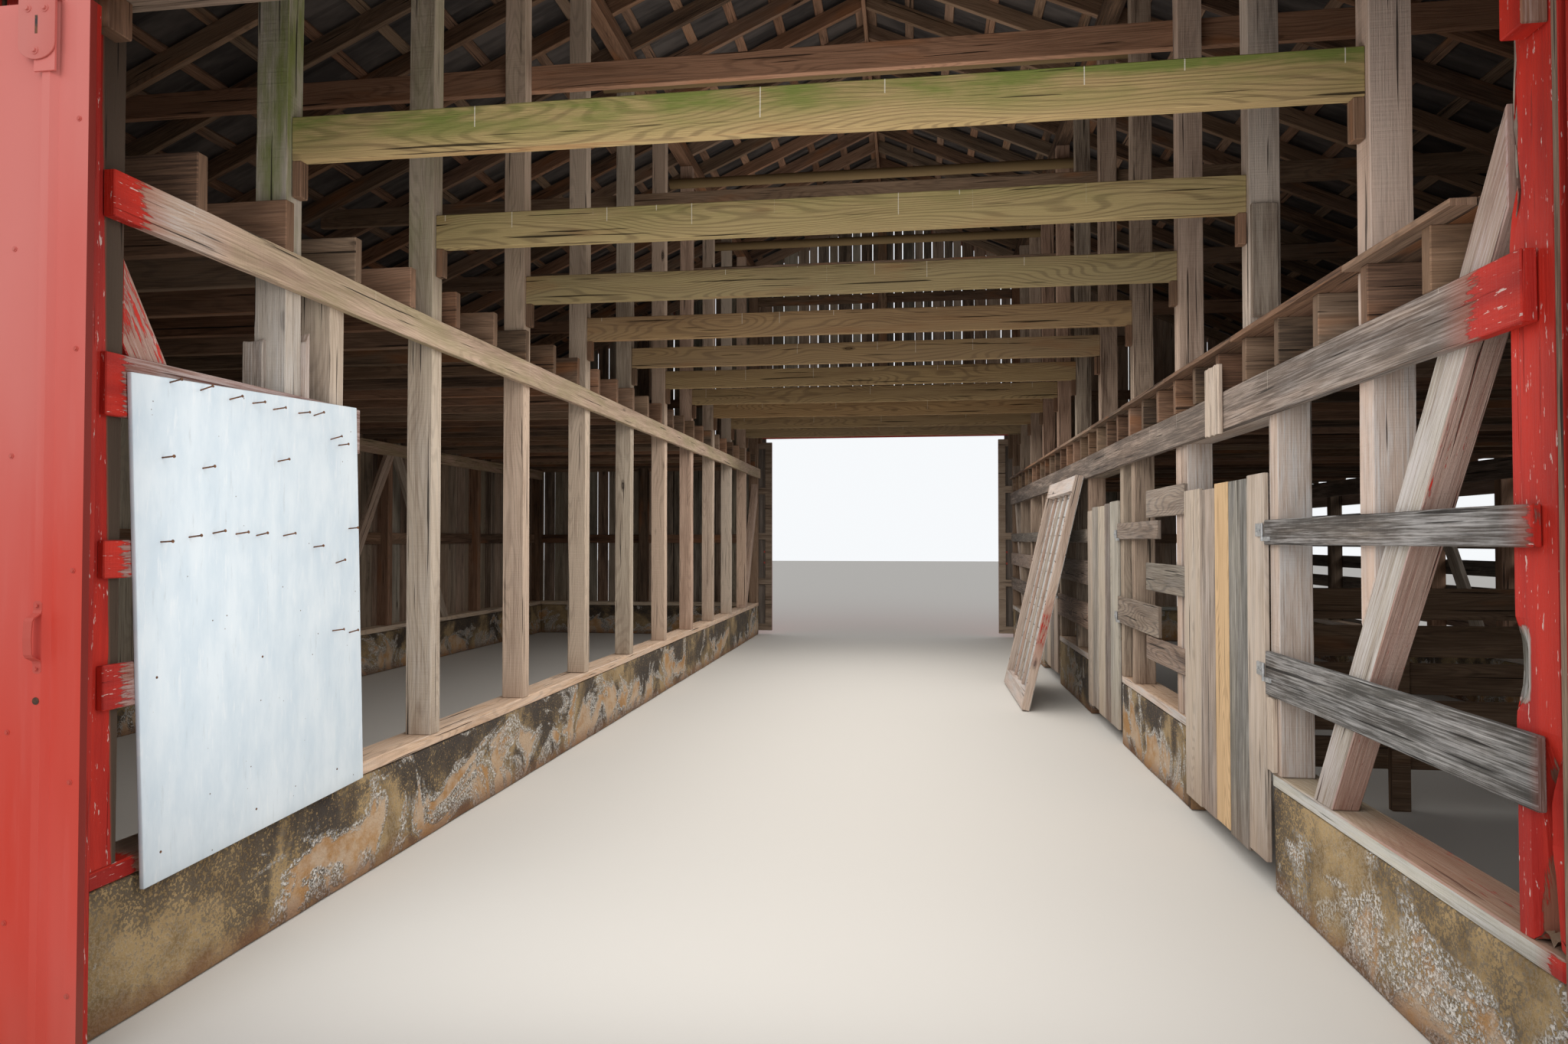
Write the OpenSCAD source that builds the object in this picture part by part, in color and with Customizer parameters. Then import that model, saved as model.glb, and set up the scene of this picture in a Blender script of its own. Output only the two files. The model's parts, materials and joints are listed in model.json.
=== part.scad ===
// Old gabled barn with a drive-through aisle between two side bays.
// Lengths are in millimetres. x runs across the barn, y from the near end to the far end.
// The origin is on the ground, under the middle of the barn.

/* [Overall] */
// Width over the frames of the side walls
barn_width = 11800; // [9400:50:15000]
// Length over the frames of the end walls
barn_length = 12650; // [9000:50:20000]
// Height of the top of the side wall plates
plate_height = 4350; // [3800:10:5600]
// Pitch of the roof in degrees
roof_pitch = 24; // [16:0.5:34]
// Reach of the roof past the side walls
eave_reach = 300; // [150:10:600]
// Reach of the roof past the end walls
gable_reach = 200; // [100:10:500]

/* [Aisle and doorways] */
// Width of the aisle between its stem walls
aisle_width = 4080; // [3400:10:5000]
// Clear height of the two large doorways
doorway_height = 3250; // [2700:10:3400]
// Depth of the beam over a large doorway
header_depth = 200; // [120:10:300]
// Height of the block in the left upper corner of a doorway
left_corner_drop = 120; // [80:10:300]
// Height of the block in the right upper corner of a doorway
right_corner_drop = 410; // [80:10:500]

/* [Stem walls and sills] */
// Height of the concrete stem walls
stem_height = 465; // [300:5:700]
// Thickness of the concrete stem walls
stem_thickness = 200; // [150:5:300]
// Thickness of the timber sills on the stem walls
sill_thickness = 60; // [40:5:100]
// Width of the timber sills
sill_width = 180; // [120:5:300]

/* [Posts and beams] */
// Size of a post across the barn
post_depth = 140; // [100:5:200]
// Size of an aisle or wall post along the barn
post_width = 100; // [80:5:150]
// Distance between posts along the barn
post_pitch = 1165; // [900:5:1500]
// Distance from the near end frame to the first post centre
first_bay = 875; // [600:5:1200]
// Thickness of joists and beams
plank_timber = 50; // [38:1:75]
// Size of a doorway post along the barn
doorway_post_width = 175; // [120:5:220]
// Width of the studs beside the aisle
stud_width = 100; // [60:5:140]
// Gap between the nearest left post and the stud beside it
left_stud_gap = 190; // [100:10:400]
// Thickness of the ledgers beside the aisle
ledger_thickness = 40; // [25:1:60]
// Height of the top of the ledger on the left of the aisle
left_ledger_top = 2710; // [2300:10:2900]
// Depth of the left ledger
left_ledger_depth = 150; // [100:5:220]
// Height of the top of the ledger on the right of the aisle
right_ledger_top = 2290; // [2100:10:2900]
// Depth of the right ledger
right_ledger_depth = 190; // [100:5:240]
// Depth of the loft joists
joist_depth = 200; // [140:5:240]
// Height of the underside of the beams across the aisle
cross_beam_height = 3100; // [2950:10:3600]
// Depth of the beams across the aisle
cross_beam_depth = 180; // [140:5:260]
// Height of the underside of the long tie beams
tie_beam_height = 4540; // [4200:10:4900]
// Depth of the long tie beams
tie_beam_depth = 170; // [120:5:220]
// Distance from a side wall's outer face to the end of a tie beam
tie_end_gap = 750; // [600:10:1200]
// Radius of the round poles near the roof
pole_radius = 55; // [35:1:80]
// Depth of the middle of a roof pole below the plates on the posts
pole_drop = 226; // [90:2:500]
// Depth of a brace, square to its length
brace_depth = 140; // [90:5:180]
// Thickness of a brace beside the aisle
brace_thickness = 100; // [60:5:140]
// Lean of a brace from upright in degrees
brace_lean = 30; // [20:1:40]
// Distance from the end frame to the top of a right brace
right_brace_start = 530; // [450:5:700]
// Distance from the end frame to the top of a left brace
left_brace_start = 85; // [60:5:200]

/* [Roof] */
// Depth of a rafter, square to the roof
rafter_depth = 140; // [100:5:200]
// Thickness of the ridge board
ridge_thickness = 40; // [25:1:60]
// Width of a roof lath
lath_width = 90; // [50:5:150]
// Thickness of a roof lath
lath_thickness = 25; // [18:1:40]
// Distance between laths along the slope
lath_pitch = 425; // [300:5:600]
// Thickness of the steel sheets
sheet_thickness = 2; // [1:0.5:4]
// Distance between the ribs of the steel sheets
rib_pitch = 229; // [150:1:305]
// Height of the ribs of the steel sheets
rib_height = 19; // [8:1:30]
// Length of each leg of the ridge cap
cap_leg = 180; // [120:5:300]

/* [Wall boards] */
// Thickness of siding boards, slats and rails
board_thickness = 25; // [18:1:32]
// Lap of the siding over the stem walls
siding_lap = 50; // [20:5:100]
// Height of the lower edge of the boards on the right wall
right_siding_bottom = 2330; // [1800:10:2600]
// Width of a slat of the right wall
slat_width = 150; // [100:5:200]
// Distance between slats of the right wall
slat_pitch = 262; // [180:2:400]
// Depth of the horizontal girts behind the siding
girt_depth = 140; // [80:5:200]
// Width of a plank of the right loft floor
floor_plank_width = 190; // [120:5:300]
// Gap between planks of the right loft floor
floor_plank_gap = 6; // [2:1:20]

/* [Sliding doors] */
// Width of one sliding door leaf
leaf_width = 2090; // [1750:10:2600]
// Height of one sliding door leaf
leaf_height = 3100; // [2800:10:3400]
// Gap under a sliding door leaf
leaf_ground_gap = 60; // [20:5:150]
// Thickness of the timber frame of a leaf
leaf_frame_thickness = 40; // [25:1:60]
// Gap between the siding and a leaf
leaf_wall_gap = 25; // [15:1:60]
// Distance from the aisle middle to the open edge of the near left leaf
near_left_leaf_edge = 1945; // [1000:5:2100]
// Distance from the aisle middle to the open edge of the near right leaf
near_right_leaf_edge = 2040; // [1000:5:2100]
// Distance from the aisle middle to the open edge of a far leaf
far_leaf_edge = 1830; // [1000:5:2100]
// Width and height of the box track
track_size = 60; // [50:1:80]
// Wall of the box track
track_wall = 4; // [2:0.5:6]
// Width of the slot under the box track
track_slot = 20; // [18:1:30]
// Radius of a hanger wheel
wheel_radius = 22; // [16:0.5:24]

/* [Stall doors] */
// Width of a stall doorway in the right stem wall
stall_opening = 1240; // [900:10:1500]
// Distance from the near end frame to the first stall doorway
first_stall = 1770; // [1500:10:2400]
// Distance between stall doorways
stall_pitch = 3000; // [2400:10:4000]
// Height of the lower edge of a stall door
stall_door_bottom = 100; // [30:5:200]
// Height of the top of a stall door
stall_door_top = 1850; // [1500:10:2000]
// Gap at each side of a stall door
stall_door_gap = 8; // [5:1:20]
// Radius of a hinge pin
hinge_pin_radius = 4; // [3:0.5:6]
// Height of the lower hinges and rails
lower_rail_height = 965; // [800:5:1100]
// Height of the upper hinges and rails
upper_rail_height = 1585; // [1300:5:1750]

/* [Stall partition] */
// Height of the stall partition
partition_height = 1270; // [900:10:1600]
// Width of a board of the stall partition
partition_board = 180; // [100:5:220]
// Gap between boards of the stall partition
partition_gap = 35; // [10:5:80]

/* [Leaning panel] */
// Width of the panel that leans on the right ledger
panel_width = 1660; // [1000:10:1700]
// Depth of the panel's frame
panel_depth = 70; // [50:5:100]
// Lean of the panel from upright in degrees
panel_lean = 13; // [8:1:20]
// Distance from the second stall door to the panel
panel_gap = 40; // [20:5:100]

/* [Notice board] */
// Distance from the near end to the white board, at half its height
notice_start = 165; // [110:5:300]
// Width of the white board
notice_width = 1220; // [900:10:1500]
// Height of the white board
notice_height = 1670; // [1200:10:1900]
// Thickness of the white board
notice_thickness = 18; // [9:1:25]
// Height of the lower edge of the white board
notice_bottom = 445; // [200:5:700]
// Turn of the white board in its own plane in degrees
notice_turn = 2.6; // [0:0.1:5]

/* [Hidden] */

half_width = barn_width / 2;
half_length = barn_length / 2;
aisle_face = aisle_width / 2;
sill_top = stem_height + sill_thickness;
post_face = aisle_face;
post_back = post_face + post_depth;
wall_post_face = half_width - post_depth;
end_frame_face = half_length - 100;
slope_tan = tan(roof_pitch);
slope_cos = cos(roof_pitch);
aisle_plate_top = roof_low(post_face);
siding_face = half_width + board_thickness;
end_siding_face = half_length + board_thickness;
roof_end = end_siding_face + gable_reach;
header_top = doorway_height + header_depth;
left_ledger_bottom = left_ledger_top - left_ledger_depth;
right_ledger_bottom = right_ledger_top - right_ledger_depth;
first_station = -end_frame_face + first_bay;
last_station_gap = 500;
station_count = floor((end_frame_face - last_station_gap - first_station) / post_pitch) + 1;
stations = [for (i = [0 : station_count - 1]) first_station + i * post_pitch];
tie_stations = [for (i = [2 : 2 : station_count - 2]) stations[i]];
pole_stations = [for (i = [4 : 2 : station_count - 1]) stations[i]];
stall_starts = [for (i = [0 : 2]) -end_frame_face + first_stall + i * stall_pitch];
rail_face = aisle_face - board_thickness;
ledger_face = aisle_face - ledger_thickness;
lean_tan = tan(brace_lean);
right_brace_high = right_ledger_top + 600;
end_lap = 55;
brace_clearance = 0.5;
doorway_post_inner = half_length - doorway_post_width;
mid_post_x = (post_back + wall_post_face) / 2 - post_depth / 2;

// Height of the underside of the rafters at a distance x from the middle
function roof_low(x) = plate_height + (barn_width / 2 - post_depth - x) * tan(roof_pitch);
// Height of the top of the rafters at a distance x from the middle
function roof_top(x) = roof_low(x) + rafter_depth / cos(roof_pitch);
// Whether a piece along y meets any stall doorway, widened by a margin
function meets_stall(y, half, margin) =
    len([for (s = stall_starts) if (y + half > s - margin && y - half < s + stall_opening + margin) 1]) > 0;

// A box from its low corner to its high corner
module block(low, high) {
    translate(low) cube(high - low);
}

// The same piece on the left and on the right of the barn
module both_sides() {
    children();
    mirror([1, 0, 0]) children();
}

// The same piece at the near end and at the far end
module both_ends() {
    children();
    mirror([0, 1, 0]) children();
}

// A flat outline in x and z, made a slab from y0 to y1
module cross_slab(outline, y0, y1) {
    translate([0, y1, 0]) rotate([90, 0, 0]) linear_extrude(y1 - y0) polygon(outline);
}

// A flat outline in y and z, made a slab from x0 to x1
module long_slab(outline, x0, x1) {
    translate([x0, 0, 0]) rotate([90, 0, 90]) linear_extrude(x1 - x0) polygon(outline);
}

// Moves its children onto the right slope: x down the slope, z square to it
module on_slope() {
    translate([0, 0, roof_top(0)]) rotate([0, roof_pitch, 0]) children();
}

// Outline of a ribbed steel sheet of a given width, with its back on y = 0
function rib_count(width) = floor((width - 80) / rib_pitch) + 1;
function rib_start(width) = (width - (rib_count(width) - 1) * rib_pitch) / 2;
function rib_path(width, offset, grow) = let (start = rib_start(width))
    [for (i = [0 : rib_count(width) - 1]) each [
        [start + i * rib_pitch - 28 - grow, offset],
        [start + i * rib_pitch - 12 - grow, offset + rib_height - sheet_thickness],
        [start + i * rib_pitch + 12 + grow, offset + rib_height - sheet_thickness],
        [start + i * rib_pitch + 28 + grow, offset]]];
function reversed(list) = [for (i = [len(list) - 1 : -1 : 0]) list[i]];
function sheet_outline(width) = concat(
    [[0, 0]], rib_path(width, 0, 0), [[width, 0], [width, sheet_thickness]],
    reversed(rib_path(width, sheet_thickness, sheet_thickness / 2)), [[0, sheet_thickness]]);

// Concrete walls
module aisle_wall_run(inner, outer, low, high) {
    segments = concat([-half_length], [for (s = stall_starts) each [s, s + stall_opening]], [half_length]);
    for (i = [0 : 2 : len(segments) - 1])
        block([inner, segments[i], low], [outer, segments[i + 1], high]);
}

module aisle_stem_walls() {
    color("tan") {
        aisle_wall_run(aisle_face, aisle_face + stem_thickness, 0, stem_height);
        block([-aisle_face - stem_thickness, -half_length, 0], [-aisle_face, half_length, stem_height]);
    }
}

module side_stem_walls() {
    color("tan") both_sides()
        block([half_width - stem_thickness, -half_length, 0], [half_width, half_length, stem_height]);
}

module end_stem_walls() {
    color("tan") both_ends() both_sides()
        block([aisle_face + stem_thickness, half_length - stem_thickness, 0],
            [half_width - stem_thickness, half_length, stem_height]);
}

// Timber sills
module sills() {
    color("burlywood") {
        aisle_wall_run(aisle_face, aisle_face + sill_width, stem_height, sill_top);
        block([-aisle_face - sill_width, -half_length, stem_height], [-aisle_face, half_length, sill_top]);
        both_sides() block([half_width - sill_width, -half_length, stem_height],
            [half_width, half_length, sill_top]);
        both_ends() both_sides() block([aisle_face + sill_width + 10, half_length - sill_width, stem_height],
            [half_width - sill_width - 10, half_length, sill_top]);
    }
}

// Place along y of the upper side of a brace at a height z
function brace_line(start, top, z) = half_length - start - (top - z) * lean_tan;

// A brace that falls towards the middle of the barn from (start, top), drawn at the far end on the right
module brace_band(start, top, low, high, grow, x0, x1) {
    cut = brace_depth / cos(brace_lean);
    inner_low = brace_line(start, top, low);
    inner_high = brace_line(start, top, high);
    long_slab([[inner_low - grow, low], [inner_low + cut + grow, low],
        [inner_high + cut + grow, high], [inner_high - grow, high]], x0, x1);
}

// The four braces beside the aisle, made wider by grow on their sloping sides
module aisle_braces(grow) {
    both_ends() {
        intersection() {
            brace_band(right_brace_start, right_ledger_bottom, sill_top, right_brace_high, grow,
                aisle_face, aisle_face + brace_thickness + grow);
            block([0, 0, 0], [half_width, doorway_post_inner, plate_height]);
        }
        mirror([1, 0, 0]) intersection() {
            brace_band(left_brace_start, left_ledger_bottom, sill_top, left_ledger_bottom + 200, grow,
                aisle_face, aisle_face + brace_thickness + grow);
            block([0, 0, 0], [half_width, half_length - post_depth, left_ledger_top - 5]);
        }
    }
}

// All that lies under a right brace, so that a post which meets the brace stands on it
module under_right_brace() {
    low = brace_line(right_brace_start, right_ledger_bottom, sill_top) - brace_clearance;
    high = brace_line(right_brace_start, right_ledger_bottom, right_brace_high) - brace_clearance;
    long_slab([[low, sill_top - 1], [half_length, sill_top - 1], [half_length, right_brace_high],
        [high, right_brace_high], [low, sill_top]], post_face - 1, post_back + 1);
}

// Posts beside the aisle, from the sills to the roof
module aisle_post(y, foot) {
    block([post_face, y - post_width / 2, foot],
        [post_back, y + post_width / 2, aisle_plate_top - post_depth]);
}

module aisle_posts() {
    color("gray") {
        difference() {
            mirror([1, 0, 0]) for (y = stations) aisle_post(y, sill_top);
            aisle_braces(brace_clearance);
        }
        difference() {
            for (y = stations)
                aisle_post(y, meets_stall(y, post_width / 2, stud_width) ? right_ledger_top : sill_top);
            both_ends() under_right_brace();
        }
    }
}

// Studs and lintels of the stall doorways, and a stud beside the nearest left post
module ledger_stud(y, width, top) {
    block([aisle_face, y - width / 2, sill_top], [post_back, y + width / 2, top]);
}

module ledger_studs() {
    lintel_gap = 0.3;
    color("rosybrown") {
        for (s = stall_starts) {
            ledger_stud(s - stud_width / 2, stud_width, right_ledger_top);
            ledger_stud(s + stall_opening + stud_width / 2, stud_width, right_ledger_top);
            block([aisle_face, s + lintel_gap, right_ledger_bottom],
                [post_back, s + stall_opening - lintel_gap, right_ledger_top]);
        }
        difference() {
            mirror([1, 0, 0]) ledger_stud(stations[0] + post_width / 2 + left_stud_gap + stud_width / 2,
                stud_width, left_ledger_top);
            aisle_braces(brace_clearance);
        }
    }
}

// Ledgers beside the aisle and along the side walls
module ledgers() {
    color("darkkhaki") {
        block([-aisle_face, -half_length + end_lap, left_ledger_bottom],
            [-ledger_face, half_length - end_lap, left_ledger_top]);
        block([ledger_face, -half_length + end_lap, right_ledger_bottom],
            [aisle_face, half_length - end_lap, right_ledger_top]);
        block([-wall_post_face, -end_frame_face + 50, left_ledger_bottom],
            [-wall_post_face + plank_timber, end_frame_face - 50, left_ledger_top]);
        block([wall_post_face - plank_timber, -end_frame_face + 50, right_ledger_bottom],
            [wall_post_face, end_frame_face - 50, right_ledger_top]);
    }
}

// Loft floors
module joist(y, start, bottom) {
    block([start, y - plank_timber / 2, bottom],
        [wall_post_face, y + plank_timber / 2, bottom + joist_depth]);
}

module loft_joists() {
    beside_post = stations[0] - post_width / 2 - plank_timber / 2 - 10;
    left_pitch = post_pitch * 2 / 5;
    right_pitch = post_pitch / 3;
    right_limit = half_length - right_brace_start + right_ledger_depth * lean_tan - plank_timber / 2 - 5;
    color("sienna") {
        mirror([1, 0, 0]) for (y = [beside_post - left_pitch : left_pitch : end_frame_face - 150])
            joist(y, ledger_face, left_ledger_top);
        joist(max(beside_post - right_pitch, -right_limit), ledger_face, right_ledger_top);
        for (y = [beside_post : right_pitch : right_limit]) joist(y, ledger_face, right_ledger_top);
        both_ends() joist(doorway_post_inner - plank_timber / 2, aisle_face + brace_thickness + 5,
            right_ledger_top);
    }
}

module loft_planks() {
    low = right_ledger_top + joist_depth;
    run = half_length - right_brace_start + (low - right_ledger_bottom) * lean_tan - 5;
    lap = post_width / 2 + 10;
    starts = concat([-run], [for (y = stations) y + lap]);
    ends = concat([for (y = stations) y - lap], [run]);
    edge_reach = 35;
    rows = floor((wall_post_face - post_back - 10) / (floor_plank_width + floor_plank_gap));
    color("peru") {
        for (i = [0 : len(starts) - 1]) {
            start = i == 0 ? starts[i] : starts[i] - lap + floor_plank_gap / 2;
            end = i == len(starts) - 1 ? ends[i] : ends[i] + lap - floor_plank_gap / 2;
            block([ledger_face - edge_reach, start, low], [post_face - 2, end, low + board_thickness]);
            block([post_face + 2, starts[i], low], [post_back, ends[i], low + board_thickness]);
        }
        for (i = [0 : rows - 1]) {
            x = post_back + floor_plank_gap + i * (floor_plank_width + floor_plank_gap);
            block([x, -end_frame_face + 60, low],
                [x + floor_plank_width, end_frame_face - 60, low + board_thickness]);
        }
    }
}

// Beams over the aisle
module cross_beams() {
    color("olive") for (y = stations)
        block([-post_face, y - plank_timber / 2, cross_beam_height],
            [post_face, y + plank_timber / 2, cross_beam_height + cross_beam_depth]);
}

// Cleats under the beams, and a block in each upper corner of the doorways
module corner_block(drop) {
    reach = 62;
    block([aisle_face - reach, half_length - 95, doorway_height - drop],
        [aisle_face, half_length - 5, doorway_height]);
}

module beam_cleats() {
    cleat_thickness = 40;
    cleat_height = 150;
    color("olive") {
        both_sides() for (y = stations)
            block([post_face - cleat_thickness, y - plank_timber / 2, cross_beam_height - cleat_height],
                [post_face, y + plank_timber / 2, cross_beam_height]);
        both_ends() {
            corner_block(right_corner_drop);
            mirror([1, 0, 0]) corner_block(left_corner_drop);
        }
    }
}

module tie_beams() {
    reach = half_width - tie_end_gap;
    color("saddlebrown") for (y = tie_stations)
        block([-reach, y + post_width / 2, tie_beam_height],
            [reach, y + post_width / 2 + plank_timber, tie_beam_height + tie_beam_depth]);
}

module roof_poles() {
    color("saddlebrown") for (y = pole_stations)
        translate([-post_back - 100, y - post_width / 2 - pole_radius - 0.3,
            aisle_plate_top - post_depth - pole_drop])
            rotate([0, 90, 0]) cylinder(r = pole_radius, h = 2 * post_back + 200, $fn = 24);
}

// Plates that carry the rafters
module roof_plates() {
    color("sienna") both_sides() {
        block([post_face, -half_length, aisle_plate_top - post_depth],
            [post_back, half_length, aisle_plate_top]);
        block([wall_post_face, -half_length, plate_height - post_depth],
            [half_width, half_length, plate_height]);
    }
}

// Posts of the side walls and of the end walls
module outer_posts() {
    y0 = half_length - post_depth;
    wall_top = plate_height - post_depth;
    color("dimgray") {
        both_sides() for (y = stations)
            block([wall_post_face, y - post_width / 2, sill_top],
                [half_width, y + post_width / 2, wall_top]);
        both_ends() {
            cross_slab([[-post_depth / 2, header_top], [post_depth / 2, header_top],
                [post_depth / 2, roof_low(0) - 60], [-post_depth / 2, roof_low(0) - 60]],
                y0, half_length);
            both_sides() {
                block([wall_post_face, y0, sill_top], [half_width, half_length, wall_top]);
                block([post_face, y0, header_top], [post_back, half_length, aisle_plate_top - post_depth]);
                cross_slab([[mid_post_x, sill_top], [mid_post_x + post_depth, sill_top],
                    [mid_post_x + post_depth, roof_low(mid_post_x + post_depth)],
                    [mid_post_x, roof_low(mid_post_x)]], y0, half_length);
            }
        }
    }
}

module doorway_posts() {
    color("firebrick") both_ends() {
        block([post_face, doorway_post_inner, sill_top], [post_back, half_length, doorway_height]);
        block([-post_back, half_length - post_depth, sill_top], [-post_face, half_length, doorway_height]);
    }
}

// Beams over the doorways
module doorway_headers() {
    color("firebrick") both_ends()
        block([-post_back, half_length - post_depth, doorway_height], [post_back, half_length, header_top]);
}

// Girts that carry the siding
module wall_girts() {
    ends = concat([-half_length + post_depth - post_width / 2], stations,
        [half_length - post_depth + post_width / 2]);
    for (i = [0 : len(ends) - 2]) {
        y0 = ends[i] + post_width / 2;
        y1 = ends[i + 1] - post_width / 2;
        for (z = [1500, 3100])
            block([-half_width, y0, z], [-half_width + plank_timber, y1, z + girt_depth]);
        for (z = [right_siding_bottom, 3300])
            block([half_width - plank_timber, y0, z], [half_width, y1, z + girt_depth]);
    }
}

module gable_girts() {
    y0 = half_length - plank_timber;
    both_ends() both_sides() {
        for (z = [1500, 2700, 3750]) {
            block([post_back, y0, z], [mid_post_x, half_length, z + girt_depth]);
            block([mid_post_x + post_depth, y0, z], [wall_post_face, half_length, z + girt_depth]);
        }
        block([post_back, y0, 4600], [mid_post_x, half_length, 4600 + girt_depth]);
        for (z = [3750, 4600, 5400])
            block([post_depth / 2, y0, z], [post_face, half_length, z + girt_depth]);
    }
}

module girts() {
    color("sienna") {
        wall_girts();
        gable_girts();
    }
}

// Braces on the inner faces of the side walls, in pairs that meet under the ledger
module wall_braces(top) {
    apex_gap = 5;
    for (i = [1, 6], turn = [0, 1]) translate([0, stations[i], 0]) mirror([0, turn, 0])
        translate([0, -half_length, 0]) brace_band(brace_depth / cos(brace_lean) + apex_gap, top,
            sill_top, top, 0, wall_post_face - plank_timber, wall_post_face);
}

module braces() {
    color("gray") {
        aisle_braces(0);
        wall_braces(right_ledger_bottom);
        mirror([1, 0, 0]) wall_braces(left_ledger_bottom);
    }
}

// Roof
module ridge_board() {
    color("sienna") block([-ridge_thickness / 2, -half_length, roof_low(0) - 60],
        [ridge_thickness / 2, half_length, roof_top(ridge_thickness / 2)]);
}

function rafter_outline(seats) = let (
        start = ridge_thickness / 2,
        tail = half_width + eave_reach)
    concat([[start, roof_low(start)]],
        seats ? [[post_face, aisle_plate_top], [post_back, aisle_plate_top],
            [post_back, roof_low(post_back)], [wall_post_face, plate_height],
            [half_width, plate_height], [half_width, roof_low(half_width)]] : [],
        [[tail, roof_low(tail)], [tail, roof_top(tail)], [start, roof_top(start)]]);

module rafters() {
    inner = [for (y = [stations[0] - post_pitch / 2 : post_pitch / 2 : end_frame_face - 200]) y];
    color("saddlebrown") both_sides() {
        for (y = inner) cross_slab(rafter_outline(true), y - plank_timber / 2, y + plank_timber / 2);
        both_ends() {
            cross_slab(rafter_outline(true), half_length - plank_timber, half_length);
            cross_slab(rafter_outline(false), roof_end - plank_timber, roof_end);
        }
    }
}

module roof_laths() {
    length = (half_width + eave_reach) / slope_cos - lath_width;
    count = floor(length / lath_pitch) + 1;
    color("sienna") both_sides() on_slope() for (i = [0 : count])
        block([i == count ? length : 20 + i * lath_pitch, -roof_end, 0],
            [(i == count ? length : 20 + i * lath_pitch) + lath_width, roof_end, lath_thickness]);
}

module roof_side_sheet() {
    length = (half_width + eave_reach) / slope_cos + 40;
    on_slope() translate([20, -roof_end - 20, lath_thickness])
        rotate([90, 0, 90]) linear_extrude(length - 20) polygon(sheet_outline(2 * roof_end + 40));
}

module roof_sheets() {
    color("lightgray") both_sides() roof_side_sheet();
}

module ridge_cap() {
    rise = roof_top(0) + (lath_thickness + rib_height + 0.3) / slope_cos;
    drop = cap_leg * slope_tan;
    t = sheet_thickness / slope_cos;
    color("lightgray") cross_slab([[0, rise], [cap_leg, rise - drop], [cap_leg, rise - drop + t],
        [0, rise + t], [-cap_leg, rise - drop + t], [-cap_leg, rise - drop]],
        -roof_end - 20, roof_end + 20);
}

// Siding
module gable_sides() {
    low = stem_height - siding_lap;
    color("firebrick") both_ends() both_sides() cross_slab([[aisle_face, low], [siding_face, low],
        [siding_face, roof_top(siding_face)], [aisle_face, roof_top(aisle_face)]],
        half_length, end_siding_face);
}

module gable_tops() {
    color("firebrick") both_ends() cross_slab([[-aisle_face, doorway_height], [aisle_face, doorway_height],
        [aisle_face, roof_top(aisle_face)], [0, roof_top(0)], [-aisle_face, roof_top(aisle_face)]],
        half_length, end_siding_face);
}

module side_siding() {
    color("firebrick") {
        block([-siding_face, -half_length, stem_height - siding_lap],
            [-half_width, half_length, roof_low(siding_face)]);
        block([half_width, -half_length, right_siding_bottom],
            [siding_face, half_length, roof_low(siding_face)]);
    }
}

module wall_slats() {
    color("gray") for (z = [stem_height - siding_lap : slat_pitch : right_siding_bottom - slat_width - 20])
        block([half_width, -half_length, z], [siding_face, half_length, z + slat_width]);
}

// Rails of the aisle sides, each with its start, its end, the height of its middle and its width
module rail(r) {
    block([rail_face, r[0], r[2] - r[3] / 2], [aisle_face, r[1], r[2] + r[3] / 2]);
}

module aisle_rails() {
    near = -half_length + end_lap;
    far = half_length - end_lap;
    ends = [for (s = stall_starts) s + stall_opening];
    short = 880;
    long = 1180;
    left_end = -half_length + notice_start + notice_width + 20;
    color("gray") {
        mirror([1, 0, 0]) for (r = [[near, left_end, 2040, 200], [near, left_end, 1490, 120],
            [near, left_end, 1090, 140]]) rail(r);
        for (r = [[near, stall_starts[0], upper_rail_height, 110],
            [near, stall_starts[0], lower_rail_height, 190],
            [ends[0], ends[0] + short, 1785, 180], [ends[0], ends[0] + short, 1310, 180],
            [ends[0], ends[0] + short, 840, 150],
            [stall_starts[1] - long, stall_starts[1], upper_rail_height + 30, 120],
            [stall_starts[1] - long, stall_starts[1], lower_rail_height + 60, 200],
            [ends[1], stall_starts[2], upper_rail_height, 120],
            [ends[1], stall_starts[2], 1255, 220], [ends[1], stall_starts[2], lower_rail_height - 100, 230],
            [ends[2], far, upper_rail_height, 120], [ends[2], far, 1255, 180],
            [ends[2], far, lower_rail_height - 90, 180]]) rail(r);
    }
}

module notice_board() {
    seat_gap = 0.3;
    middle = [seat_gap, -half_length + notice_start + notice_width / 2, notice_bottom + notice_height / 2];
    color("white") translate(middle) rotate([notice_turn, 0, 0])
        block([-rail_face, -notice_width / 2, -notice_height / 2],
            [-rail_face + notice_thickness, notice_width / 2, notice_height / 2]);
}

// Boards across the right bay, on two stakes
module stall_partition() {
    y = stations[2];
    stake_reach = 40;
    count = floor(partition_height / (partition_board + partition_gap));
    color("sienna") {
        for (i = [0 : count - 1]) {
            z = partition_height - partition_board - i * (partition_board + partition_gap);
            x0 = z < sill_top ? aisle_face + stem_thickness : post_back;
            x1 = z < sill_top ? half_width - stem_thickness : wall_post_face;
            block([x0, y, z], [x1, y + board_thickness, z + partition_board]);
        }
        for (x = [post_back + 1000, post_back + 2300])
            block([x, y - plank_timber, 0], [x + stud_width, y, partition_height + stake_reach]);
    }
}

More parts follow.
